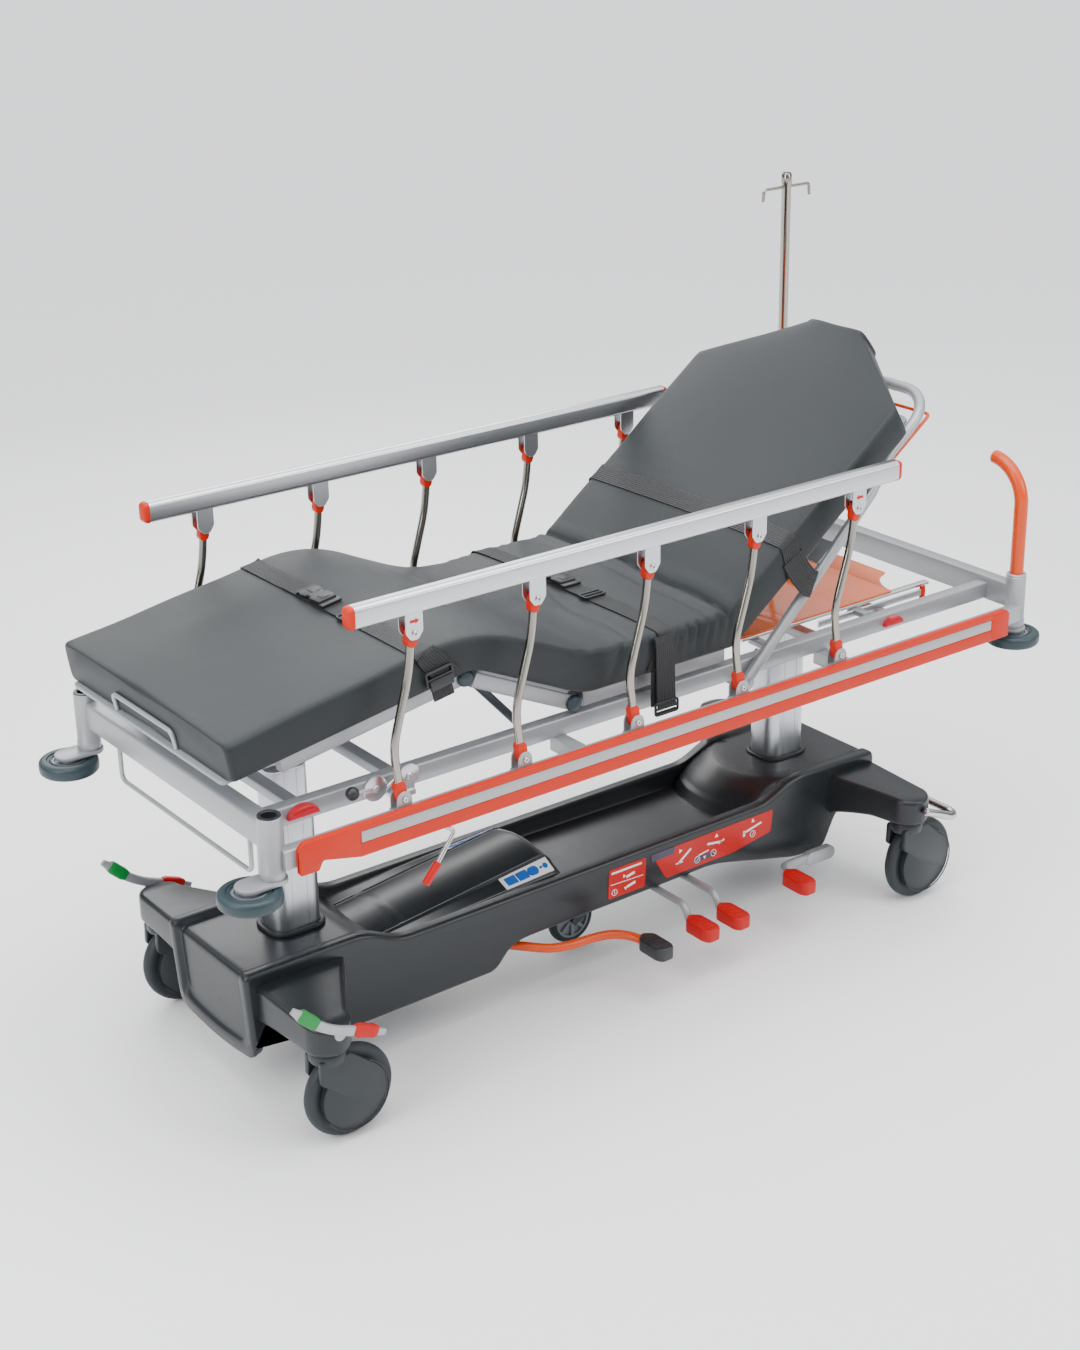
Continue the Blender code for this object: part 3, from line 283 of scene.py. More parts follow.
labelRed = mouldedPlastic("labelRed", (0.46, 0.007, 0.005), 0.36, 0.00001, 0.1, 0.25)
labelSlate = mouldedPlastic("labelSlate", (0.050, 0.045, 0.085), 0.36, 0.00001, 0.1, 0.3)
silverPaint = paintedMetal("silverPaint", (0.34, 0.35, 0.365), 0.40, 0.45)
deckGrey = paintedMetal("deckGrey", (0.26, 0.28, 0.30), 0.48, 0.10)
darkSteel = paintedMetal("darkSteel", (0.030, 0.044, 0.052), 0.42, 0.30)
railMetal = brushedMetal("railMetal", (0.60, 0.61, 0.63), 0.30, (0.02, 1.0, 1.0))
columnMetal = brushedMetal("columnMetal", (0.56, 0.58, 0.61), 0.32, (1.0, 1.0, 0.02))
plateMetal = brushedMetal("plateMetal", (0.70, 0.71, 0.73), 0.30, (1.0, 1.0, 0.2))
stainless = brushedMetal("stainless", (0.33, 0.31, 0.27), 0.16, (1.0, 1.0, 0.05), 0.000008)
chromeMetal = brushedMetal("chromeMetal", (0.58, 0.57, 0.55), 0.12, (1.0, 0.05, 1.0), 0.000004)
clothCharcoal = mattressCloth()
beltCloth = webbing()
foil = reflectiveFoil()
orangeAcrylic = clearPlastic("orangeAcrylic", (0.80, 0.13, 0.006), 0.90)
redLens = clearPlastic("redLens", (0.62, 0.008, 0.022), 0.84)
print("materials made")


# ------------------------------------------------------------ shapes
def makePiece(name, points, faces, material, body, sharp=40.0, replaces=()):
    # A mesh object at the origin, with its normals set outward, that rides on a body
    mesh = bpy.data.meshes.new(name)
    mesh.from_pydata([tuple(p) for p in np.asarray(points, float)], [], [tuple(f) for f in faces])
    bm = bmesh.new()
    bm.from_mesh(mesh)
    bmesh.ops.remove_doubles(bm, verts=bm.verts, dist=0.00001)
    bmesh.ops.recalc_face_normals(bm, faces=bm.faces)
    bm.to_mesh(mesh)
    bm.free()
    mesh.materials.append(material)
    mesh.shade_smooth()
    mesh.set_sharp_from_angle(angle=math.radians(sharp))
    made = bpy.data.objects.new(name, mesh)
    bpy.context.scene.collection.objects.link(made)
    if body:
        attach(made, body)
    if replaces:
        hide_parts(*replaces)
    return made


def gridFaces(rows, columns, closeRows=False, closeColumns=False, start=0):
    # Quads of a grid of points, wrapped round in either direction
    r = np.arange(rows if closeRows else rows - 1)
    c = np.arange(columns if closeColumns else columns - 1)
    r, c = np.meshgrid(r, c, indexing="ij")
    nextR, nextC = (r + 1) % rows, (c + 1) % columns
    quads = np.stack([r * columns + c, r * columns + nextC, nextR * columns + nextC, nextR * columns + c], -1)
    return (quads.reshape(-1, 4) + start).tolist()


def loftParts(sections, capStart=True, capEnd=True, closeRows=False):
    # Closed sections in order, joined by quads, with a flat cap on each end
    sections = np.asarray(sections, float)
    rows, columns = sections.shape[:2]
    faces = gridFaces(rows, columns, closeRows, True)
    if capStart and not closeRows:
        faces.append(list(range(columns))[::-1])
    if capEnd and not closeRows:
        faces.append(list(range((rows - 1) * columns, rows * columns)))
    return sections.reshape(-1, 3), faces


def joined(*parts):
    # Several (points, faces) pairs as one
    points, faces, start = [], [], 0
    for partPoints, partFaces in parts:
        points.append(np.asarray(partPoints, float))
        faces += [[i + start for i in f] for f in partFaces]
        start += len(partPoints)
    return np.concatenate(points), faces


def roundedLine(corners, radius, steps=5, closed=False):
    # A line through the corners in two or three dimensions, each corner cut by a quadratic curve
    corners = np.asarray(corners, float)
    count = len(corners)
    radii = np.broadcast_to(np.asarray(radius, float), (count,))
    t = np.linspace(0.0, 1.0, steps + 1)[:, None]
    line = []
    for i, corner in enumerate(corners):
        if not closed and i in (0, count - 1):
            line.append(corner[None])
            continue
        before, after = corners[i - 1], corners[(i + 1) % count]
        reach = min(radii[i], np.linalg.norm(before - corner) * 0.499, np.linalg.norm(after - corner) * 0.499)
        if reach < 1e-6:
            line.append(corner[None])
            continue
        a = corner + (before - corner) / np.linalg.norm(before - corner) * reach
        b = corner + (after - corner) / np.linalg.norm(after - corner) * reach
        line.append(a * (1 - t) ** 2 + corner * 2 * t * (1 - t) + b * t ** 2)
    return np.concatenate(line)


def circle(radius, sides=20, squash=1.0):
    angle = np.arange(sides) * 2 * pi / sides
    return np.stack([radius * np.cos(angle), radius * squash * np.sin(angle)], 1)


def roundRect(width, height, radius, steps=4, centre=(0, 0)):
    # Outline of a rectangle whose corners are quarter circles
    angle = np.linspace(0, pi / 2, steps + 1)
    arcs = []
    for sx, sy, turn in ((1, 1, 0), (-1, 1, 1), (-1, -1, 2), (1, -1, 3)):
        a = angle + turn * pi / 2
        arcs.append(np.stack([sx * (width / 2 - radius) + radius * np.cos(a),
                              sy * (height / 2 - radius) + radius * np.sin(a)], 1))
    return np.concatenate(arcs) + np.asarray(centre, float)


def carried(path, profile, up=(0, 0, 1), closed=False, scale=None):
    # The closed profile carried along a path: its first number runs sideways and its second along up
    path = np.asarray(path, float)
    profile = np.asarray(profile, float)
    if closed:
        tangent = np.roll(path, -1, 0) - np.roll(path, 1, 0)
    else:
        tangent = np.gradient(path, axis=0)
    tangent /= np.linalg.norm(tangent, axis=1)[:, None]
    side = np.cross(tangent, np.asarray(up, float))
    side /= np.linalg.norm(side, axis=1)[:, None]
    above = np.cross(side, tangent)
    sizes = np.ones(len(path)) if scale is None else np.asarray(scale, float)
    offset = (side[:, None] * profile[None, :, :1] + above[:, None] * profile[None, :, 1:]) * sizes[:, None, None]
    return loftParts(path[:, None] + offset, closeRows=closed)


def pipe(path, radius, up=(0, 1, 0), sides=18, endRound=0.0):
    # A round bar along a path, its ends rounded over when endRound is given
    path = np.asarray(path, float)
    scale = np.ones(len(path))
    if endRound:
        angle = np.linspace(0, pi / 2, 5)[1:]
        first, last = path[0] - path[1], path[-1] - path[-2]
        first, last = first / np.linalg.norm(first), last / np.linalg.norm(last)
        path = np.concatenate([(path[0] + first * endRound * np.sin(angle)[:, None])[::-1], path,
                               path[-1] + last * endRound * np.sin(angle)[:, None]])
        shrink = np.maximum(1 - (1 - np.cos(angle)) * endRound / radius, 0.02)
        scale = np.concatenate([shrink[::-1], scale, shrink])
    return carried(path, circle(radius, sides), up, scale=scale)


def spun(profile, centre, axis="Y", steps=48):
    # A closed (radius, along) profile turned about an axis through the centre
    profile = np.asarray(profile, float)
    angle = np.arange(steps) * 2 * pi / steps
    r, h = profile[None, :, 0], profile[None, :, 1]
    c, s = np.cos(angle)[:, None], np.sin(angle)[:, None]
    flat = {"Y": (r * c, h + 0 * c, r * s), "Z": (r * c, r * s, h + 0 * c), "X": (h + 0 * c, r * c, r * s)}[axis]
    points = np.stack(flat, -1) + np.asarray(centre, float)
    return points.reshape(-1, 3), gridFaces(steps, profile.shape[0], True, True)


def slab(outline, axis, low, high, bevel=0.001, steps=2):
    # A flat plate: the outline carried from low to high, its rims rounded by the bevel
    outline = np.asarray(outline, float)
    before, after = np.roll(outline, 1, 0), np.roll(outline, -1, 0)
    edge = after - before
    area = np.sum(outline[:, 0] * after[:, 1] - after[:, 0] * outline[:, 1])
    inward = np.stack([-edge[:, 1], edge[:, 0]], 1) * (1 if area > 0 else -1)
    inward /= np.maximum(np.linalg.norm(inward, axis=1), 1e-9)[:, None]
    angle = np.linspace(0, pi / 2, steps + 1)
    levels = [(low + bevel * (1 - np.cos(a)), bevel * (1 - np.sin(a))) for a in angle]
    levels += [(high - bevel * (1 - np.cos(a)), bevel * (1 - np.sin(a))) for a in angle[::-1]]
    order = {"X": (2, 0, 1), "Y": (0, 2, 1), "Z": (0, 1, 2)}[axis]
    sections = []
    for level, inset in levels:
        ring = outline + inward * inset
        stack = np.stack([ring[:, 0], ring[:, 1], np.full(len(ring), level)], 1)
        sections.append(stack[:, order])
    return loftParts(sections)


def block(x0, x1, y0, y1, z0, z1, radius=0.002):
    # A box whose upright edges and rims are rounded
    outline = roundRect(x1 - x0, y1 - y0, radius, 3, ((x0 + x1) / 2, (y0 + y1) / 2))
    return slab(outline, "Z", z0, z1, min(radius, (z1 - z0) * 0.4))


def stadium(ax, az, bx, bz, radius, steps=8):
    # Outline of a bar with round ends between two points
    turn = math.atan2(bz - az, bx - ax)
    angle = np.linspace(-pi / 2, pi / 2, steps + 1)
    head = np.stack([bx + radius * np.cos(angle + turn), bz + radius * np.sin(angle + turn)], 1)
    foot = np.stack([ax + radius * np.cos(angle + turn + pi), az + radius * np.sin(angle + turn + pi)], 1)
    return np.concatenate([head, foot])


def screw(x, y, z, radius, axis="Y", side=-1):
    # A socket-head screw: a low domed ring round a six-sided hole
    d = radius * 0.55
    profile = [(radius * 0.42, side * d * 0.15), (radius * 0.45, side * d), (radius * 0.80, side * d),
               (radius, side * d * 0.6), (radius, 0.0), (radius * 0.42, 0.0)]
    floor = [(0.0003, side * d * 0.16), (radius * 0.43, side * d * 0.16), (radius * 0.43, 0.0), (0.0003, 0.0)]
    return joined(spun(profile, (x, y, z), axis, 18), spun(floor, (x, y, z), axis, 6))


sides = ((-1, "near"), (1, "far"))

# ------------------------------------------------------------ base cover
cover = {"half": 0.160, "bandIn": 0.134, "step": 0.009, "edge": 0.010, "plateDrop": 0.0125,
         "bandTop": 0.3135, "rim": 0.272, "floor": 0.2275}


def coverOutlines(outerRise, innerRise):
    # Side view of the cover as two closed lines with matching corners: the raised band at its sides, and
    # the sunk middle, which is the front panel, the top plates and the tray floor
    top, rim, floor, drop = cover["bandTop"], cover["rim"], cover["floor"], cover["plateDrop"]
    band = np.array([(-0.926, 0.104), (-0.929, 0.132), (-0.930, 0.142), (-0.940, top), (-0.648, top), (-0.566, rim),
                     (0.300, rim), (0.456, rim), (0.548, top), (0.806, top - 0.004), (0.806, 0.215), (0.692, 0.186),
                     (0.648, 0.097), (0.560, 0.097), (0.300, 0.163), (0.117, 0.161), (-0.245, 0.160),
                     (-0.283, 0.152), (-0.326, 0.106), (-0.706, 0.104), (-0.728, 0.124), (-0.744, 0.196),
                     (-0.878, 0.200), (-0.899, 0.176), (-0.905, 0.112)])
    band[[0, 1, 2, -1], 1] += outerRise
    sunk = band.copy()
    sunk[2:10] = [(-0.9190, 0.144 + innerRise), (-0.9275, top - drop), (-0.652, top - drop), (-0.560, floor + 0.012),
                  (0.300, floor), (0.470, floor), (0.560, top - drop), (0.798, top - 0.006)]
    radii = [0.006, 0.008, 0.008, 0.020, 0.035, 0.035, 0.01, 0.030, 0.040, 0.022, 0.012, 0.03, 0.02, 0.03, 0.04,
             0.02, 0.02, 0.02, 0.02, 0.02, 0.02, 0.015, 0.015, 0.012, 0.006]
    return roundedLine(band, radii, 6, True), roundedLine(sunk, radii, 6, True)


def cornerRise(across, half, radius):
    # How far a rounded corner of this radius has risen at a place across the front
    reach = min(max(abs(across) - (half - radius), 0.0), radius * 0.97)
    return radius - math.sqrt(radius ** 2 - reach ** 2)


def baseBody():
    # Each point lies between the band line and the sunk line by a smooth step in y, and the long edges roll
    # over by a quarter circle. The front's lower edge is bowed, with round corners
    half, edge, bandIn, step = cover["half"], cover["edge"], cover["bandIn"], cover["step"]
    rows = []
    for a in np.linspace(0, pi / 2, 6):
        rows.append((-half + edge * (1 - np.cos(a)), edge * (1 - np.sin(a)), 0.0))
    for t in np.linspace(0, 1, 7):
        rows.append((-bandIn + step * t, 0.0, t * t * (3 - 2 * t)))
    rows += [(yAt, 0.0, 1.0) for yAt in (-0.1215, -0.1165, -0.110, -0.103, -0.096, -0.075, -0.050, -0.025, 0.0)]
    rows += [(-a, b, c) for a, b, c in rows[-2::-1]]
    sections = []
    for yAt, inset, share in rows:
        bow = 0.016 * (yAt / half) ** 2 - 0.006
        band, sunk = coverOutlines(bow + cornerRise(yAt, half, 0.030), bow + cornerRise(yAt, bandIn - step, 0.028))
        along = np.roll(band, -1, 0) - np.roll(band, 1, 0)
        inward = np.stack([along[:, 1], -along[:, 0]], 1)
        inward /= np.maximum(np.linalg.norm(inward, axis=1), 1e-9)[:, None]
        line = band * (1 - share) + sunk * share + inward * inset
        sections.append(np.stack([line[:, 0], np.full(len(line), yAt), line[:, 1]], 1))
    return loftParts(sections)


def armSections(xLow, xHigh, stem, side, lowRoot):
    # The arm as rounded sections from inside the wall out to its round tip over the caster
    tip, root, tipRadius = 0.335, 0.150, 0.049
    y = np.concatenate([np.linspace(root, tip, 15), tip + tipRadius * np.sin(np.linspace(0.12, pi / 2, 12))])
    t = np.clip((y - root) / (tip - root), 0, 1)
    ease = t ** 0.9
    left = xLow + (stem - tipRadius - xLow) * ease
    right = xHigh + (stem + tipRadius - xHigh) * ease
    over = np.clip((y - tip) / tipRadius, 0, 1)
    bulge = np.sqrt(np.clip(1 - over ** 2, 0.0004, 1))
    centre, width = (left + right) / 2, (right - left) * bulge
    top = 0.2845 - 0.004 * t - 0.010 * (1 - bulge)
    low = lowRoot + (0.2125 - lowRoot) * np.clip(t * 1.5, 0, 1) ** 0.6 + 0.006 * (1 - bulge)
    sections = []
    for i in range(len(y)):
        ring = roundRect(width[i], top[i] - low[i], min(0.011, width[i] * 0.45), 4,
                         (centre[i], (top[i] + low[i]) / 2))
        sections.append(np.stack([ring[:, 0], np.full(len(ring), side * y[i]), ring[:, 1]], 1))
    return loftParts(sections)


def headFlare():
    # A flared skirt round the head column, cut off flat at the tray's side walls. Its radius falls from the
    # tray floor to the plate, with a ledge part of the way up
    heights = np.array([0.224, 0.2285, 0.232, 0.248, 0.252, 0.2545, 0.262, 0.278, 0.292, 0.300, 0.3035, 0.3045])
    radii = np.array([0.262, 0.256, 0.2525, 0.2420, 0.2390, 0.2330, 0.2270, 0.2060, 0.1850, 0.1700, 0.1560, 0.120])
    angle = np.linspace(pi / 2, 3 * pi / 2, 61)
    x = 0.630 + radii[:, None] * np.cos(angle)[None]
    y = np.clip(radii[:, None] * np.sin(angle)[None] * 0.93, -0.131, 0.131)
    z = np.broadcast_to(heights[:, None], x.shape)
    return loftParts(np.stack([x, y, z], -1))


def columnGasket(x):
    # A rubber ring, soft in section, round the column where it leaves the base
    ring = roundRect(0.122, 0.102, 0.034, 6)
    path = np.column_stack([ring[:, 0] + x, ring[:, 1], np.full(len(ring), 0.3045)])
    return carried(path, roundRect(0.012, 0.012, 0.0045, 2), closed=True)


hood = {"crease": 0.0875, "outer": 0.1295, "tall": 0.016, "foot": -0.519, "head": -0.108, "creaseFoot": 0.256,
        "creaseHead": 0.304, "outerFoot": 0.259, "outerHead": 0.277, "roll": 0.045, "lip": 0.0036}


def hoodTop(x, y):
    # The hood's height: a shallow arch between two creases that climb towards the head, and a shoulder that
    # slopes from each crease to the tray's wall
    share = (x - hood["foot"]) / (hood["head"] - hood["foot"])
    crease = hood["creaseFoot"] + (hood["creaseHead"] - hood["creaseFoot"]) * share
    outer = hood["outerFoot"] + (hood["outerHead"] - hood["outerFoot"]) * share
    bend = (hood["crease"] ** 2 + hood["tall"] ** 2) / (2 * hood["tall"])
    arch = np.sqrt(np.maximum(bend ** 2 - y ** 2, 0)) - (bend - hood["tall"])
    across = np.maximum(np.abs(y) - hood["crease"], 0) / (hood["outer"] - hood["crease"])
    return crease + np.maximum(arch, 0) + (outer - crease) * across


def cylinderHood():
    # Raised lines run along both sides of each shoulder and across the foot end. The foot end runs into the
    # pedestal's slope, and the head end rolls down to the tray
    start = hood["head"] - hood["roll"]
    x = np.concatenate([np.linspace(-0.640, start, 60), start + hood["roll"] * np.sin(np.linspace(0.1, pi / 2, 12))])
    x = x[:, None]
    y = np.linspace(-0.1335, 0.1335, 121)[None]
    lip = sum(np.exp(-((np.abs(y) - at) / 0.0028) ** 2) for at in (hood["crease"], hood["outer"]))
    lip = lip + np.exp(-((x - hood["foot"]) / 0.0035) ** 2) * (np.abs(y) < hood["crease"])
    down = np.sqrt(np.clip(1 - (np.maximum(x - start, 0) / hood["roll"]) ** 2, 0, 1))
    z = cover["floor"] + 0.0005 + (hoodTop(x, y) - cover["floor"] + hood["lip"] * np.minimum(lip, 1)) * down
    top = np.stack([np.broadcast_to(x, z.shape), np.broadcast_to(y, z.shape), z], -1)
    under = top[:, ::-1].copy()
    under[..., 2] = cover["floor"] - 0.003
    return loftParts(np.concatenate([top, under], 1))


def wallLabel(corners):
    # A thin printed label on the near wall, given by its corners in x and z
    y = -cover["half"] - 0.0002
    return slab(roundedLine(corners, 0.006, 4, True), "Y", y - 0.0009, y + 0.0004, 0.0002, 1)


def marks(shapes, y, depth=0.0006):
    # Flat pictogram shapes standing just proud of a label
    parts = [slab(np.asarray(s, float), "Y", y - depth, y + 0.0003, 0.0001, 1) for s in shapes]
    return joined(*parts)


def bar(x, z, length, thick, turn):
    a = math.radians(turn)
    along, across = np.array([math.cos(a), math.sin(a)]) * length / 2, np.array([-math.sin(a), math.cos(a)]) * thick / 2
    c = np.array([x, z])
    return [c - along - across, c + along - across, c + along + across, c - along + across]


def triangle(x, z, size, turn):
    angle = np.radians(turn + np.array([90, 210, 330]))
    return np.stack([x + size * np.cos(angle), z + size * np.sin(angle)], 1)


def ringMark(x, z, radius, thick=0.0012, sides=20):
    # A ring cut open by a hair's width so that its outline is one loop
    angle = np.linspace(0.02, 2 * pi - 0.02, sides)
    outer = np.stack([x + radius * np.cos(angle), z + radius * np.sin(angle)], 1)
    inner = np.stack([x + (radius - thick) * np.cos(angle), z + (radius - thick) * np.sin(angle)], 1)
    return np.concatenate([outer, inner[::-1]])


def buildBase():
    arms = [armSections(-0.915, -0.700, -0.862, side, 0.198) for side in (-1, 1)]
    arms += [armSections(0.655, 0.800, 0.742, side, 0.176) for side in (-1, 1)]
    points, faces = joined(baseBody(), headFlare(), *arms)
    makePiece("baseCover", points, faces, blackPlastic, "base", 42, ["base_cover"])
    points, faces = cylinderHood()
    makePiece("cylinderHood", points, faces, blackPlastic, "base", 42, ["oxygen_cradle"])
    points, faces = joined(columnGasket(-0.735), columnGasket(0.630))
    makePiece("columnGaskets", points, faces, deepBlack, "base")
    small = [(-0.018, 0.178), (0.088, 0.178), (0.092, 0.250), (-0.014, 0.250)]
    wide = [(0.150, 0.178), (0.350, 0.178), (0.470, 0.196), (0.476, 0.252), (0.108, 0.250)]
    tag = [(0.107, 0.232), (0.172, 0.234), (0.178, 0.2505), (0.1065, 0.2505)]
    points, faces = joined(wallLabel(small), wallLabel(wide))
    makePiece("wallLabels", points, faces, labelRed, "base", 30)
    y = -cover["half"] - 0.0011
    points, faces = marks([tag, bar(0.265, 0.1955, 0.060, 0.013, 0)], y)
    makePiece("labelTags", points, faces, labelSlate, "base", 30)
    shapes = [bar(0.205, 0.217, 0.046, 0.005, 35), bar(0.189, 0.2045, 0.020, 0.003, 0),
              triangle(0.192, 0.234, 0.006, 30), bar(0.295, 0.222, 0.044, 0.005, -8),
              bar(0.316, 0.2195, 0.018, 0.004, 20), triangle(0.301, 0.238, 0.006, 0),
              bar(0.262, 0.207, 0.030, 0.003, 8), triangle(0.265, 0.1955, 0.005, 180),
              bar(0.412, 0.224, 0.056, 0.005, 12),
              bar(0.386, 0.216, 0.006, 0.014, 0), triangle(0.413, 0.2415, 0.006, 0), ringMark(0.243, 0.195, 0.0085),
              ringMark(0.292, 0.1975, 0.0085), ringMark(0.413, 0.208, 0.0085), bar(0.414, 0.208, 0.009, 0.0014, 45),
              bar(0.244, 0.195, 0.009, 0.0014, 45), bar(0.293, 0.1975, 0.009, 0.0014, 135),
              bar(0.035, 0.2405, 0.086, 0.0045, 0), bar(0.046, 0.222, 0.024, 0.006, 12),
              triangle(0.028, 0.224, 0.005, 30), bar(0.036, 0.211, 0.094, 0.0013, -2),
              bar(0.048, 0.197, 0.024, 0.006, 12), triangle(0.032, 0.193, 0.005, 180),
              ringMark(0.000, 0.192, 0.008), bar(0.000, 0.193, 0.0014, 0.008, 0)]
    points, faces = marks(shapes, y - 0.0003)
    makePiece("labelMarks", points, faces, whiteInk, "base", 30)
    hoodLabels()
    print("base cover made")


def hoodLabels():
    # Cylinder pictograms laid on the hood's sloping shoulders: a white plate with a blue bottle in three pieces
    for side, name in sides:
        x0, x1, y = -0.268, -0.140, side * 0.1085
        unit = (x1 - x0) / 10
        plate = block(x0, x1, y - 0.0165, y + 0.0165, -0.001, 0.0014, 0.0008)
        bottle = [block(x0 + unit * a, x0 + unit * (a + 2.2), y - 0.0105, y + 0.0105, 0, 0.0019, 0.0012)
                  for a in (0.7, 3.1)]
        bottle.append(slab(stadium(x0 + unit * 6.1, y, x0 + unit * 6.7, y, 0.0103), "Z", 0, 0.0019, 0.0003, 1))
        bottle.append(slab(circle(0.0062, 18) + np.array([x0 + unit * 9.0, y]), "Z", 0, 0.0019, 0.0003, 1))
        bottle.append(block(x0 + unit * 7.8, x0 + unit * 8.4, y - 0.0022, y + 0.0022, 0, 0.0019, 0.0006))
        for kind, parts, ink in (("Plate", [plate], whiteInk), ("Bottle", bottle, blueInk)):
            points, faces = joined(*parts)
            points = np.array(points, float)
            points[:, 2] += hoodTop(points[:, 0], points[:, 1]) + 0.0006
            makePiece("hood" + kind + name.title(), points, faces, ink, "base", 30)


buildBase()


# ------------------------------------------------------------ casters and wheels
caster = {"radius": 0.100, "half": 0.0155, "disc": 0.080, "trail": 0.042, "axle": 0.100}


def tyre(x, y, z, radius, half, inner):
    # Rubber tread with a full, rounded crown, as a closed section turned about the axle
    angle = np.linspace(-pi / 2, pi / 2, 11)
    crown = np.stack([radius - half * 0.75 + half * 0.75 * np.cos(angle), half * np.sin(angle)], 1)
    section = np.concatenate([[(inner, -half * 0.86)], crown, [(inner, half * 0.86)]])
    return spun(section, (x, y, z), "Y", 72)


def discCover(x, y, z, radius, low, high, sideSign):
    # A dished wheel disc, raised at the hub
    s = sideSign
    section = [(0.0004, low * s), (radius, low * s), (radius, (high - 0.003) * s), (radius - 0.003, high * s),
               (radius * 0.55, (high - 0.0005) * s), (0.022, (high - 0.0005) * s), (0.018, (high + 0.001) * s),
               (0.0004, (high + 0.001) * s)]
    return spun(section, (x, y, z), "Y", 64)


def forkCover(stem, axle, z, y, cheek):
    # One cheek of the fork: a broad arm from the swivel boss down to the hub, with a straight lower edge
    a = np.radians(np.linspace(-28, 62, 12))
    rim = np.stack([axle + 0.0745 * np.cos(a), z + 0.0745 * np.sin(a)], 1)
    outline = np.concatenate([[(axle - 0.004, z - 0.012)], rim,
                              [(stem + 0.036, 0.200), (stem - 0.034, 0.200), (stem - 0.036, 0.150),
                               (stem - 0.020, 0.138)]])
    low, high = sorted((y + cheek * 0.0188, y + cheek * 0.0318))
    return slab(roundedLine(outline, 0.006, 3, True), "Y", low, high, 0.003, 3)


def buildCasters():
    for end, stem in (("foot", -0.862), ("head", 0.742)):
        for side, where in sides:
            y, axle, z = side * 0.335, stem + caster["trail"], caster["axle"]
            name, tag = f"caster_{end}_{where}", end.title() + where.title()
            fork = [forkCover(stem, axle, z, y, cheek) for cheek in (-1, 1)]
            collar = [(0.0004, 0.186), (0.036, 0.186), (0.0385, 0.190), (0.0385, 0.2065), (0.036, 0.2105),
                      (0.0004, 0.2105)]
            fork.append(spun(collar, (stem, y, 0), "Z", 40))
            points, faces = joined(*fork)
            makePiece("fork" + tag, points, faces, casterPlastic, name + "_fork", 40, [name + "_fork"])
            points, faces = tyre(axle, y, z, caster["radius"], caster["half"], 0.074)
            made = makePiece("tyre" + tag, points, faces, tyreRubber, name + "_wheel", 50)
            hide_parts(name + "_wheel")
            points, faces = joined(*[discCover(axle, y, z, 0.0752, 0.0, 0.0148, s) for s in (-1, 1)])
            makePiece("disc" + tag, points, faces, casterPlastic, name + "_wheel", 40)
            groove = [(0.0735, -0.0157), (0.0765, -0.0157), (0.0765, 0.0157), (0.0735, 0.0157)]
            points, faces = spun(groove, (axle, y, z), "Y", 64)
            makePiece("groove" + tag, points, faces, deepBlack, name + "_wheel", 40)
            lines = []
            for s in (-1, 1):
                a = np.radians(np.linspace(-150, 66, 40))
                arcLine = np.stack([axle + 0.0765 * np.cos(a), np.full(40, y + s * 0.0322), z + 0.0765 * np.sin(a)], 1)
                lines.append(carried(arcLine, roundRect(0.0026, 0.0026, 0.0010, 2), up=(0, 1, 0)))
            skirt = []
            for s in (-1, 1):
                section = [(0.0004, s * 0.0165), (0.0745, s * 0.0165), (0.0745, s * 0.0300), (0.0725, s * 0.0315),
                           (0.0004, s * 0.0315)]
                skirt.append(spun(section, (axle, y, z), "Y", 64))
            points, faces = joined(*skirt)
            makePiece("hubCap" + tag, points, faces, casterPlastic, name + "_fork", 40)
            points, faces = joined(*lines)
            makePiece("capLine" + tag, points, faces, deepBlack, name + "_fork", 40)
    print("casters made")


buildCasters()


# ------------------------------------------------------------ brakes and pedals
def rockerPedal(side):
    # A curved band with a thick rim, carried along a shallow S in side view
    y = side * 0.3915
    path = np.array([(-0.966, 0.358), (-0.946, 0.338), (-0.915, 0.308), (-0.880, 0.284), (-0.842, 0.268),
                     (-0.800, 0.252), (-0.762, 0.236)])
    line = roundedLine(path, 0.03, 4)
    points = np.column_stack([line[:, 0], np.full(len(line), y), line[:, 1]])
    width = np.interp(np.linspace(0, 1, len(line)), [0, 0.08, 0.5, 0.92, 1], [0.6, 1.0, 0.9, 1.0, 0.6])
    return points, carried(points, roundRect(0.011, 0.0225, 0.0035, 3), up=(0, 0, 1), scale=width)


def padAlong(points, start, end, width, thick):
    # A moulded pad over part of a pedal
    line = points[start:end] + np.array([0, 0, 0.0015])
    size = np.ones(len(line))
    size[0] = size[-1] = 0.8
    return carried(line, roundRect(width, thick, 0.004, 3), up=(0, 0, 1), scale=size)


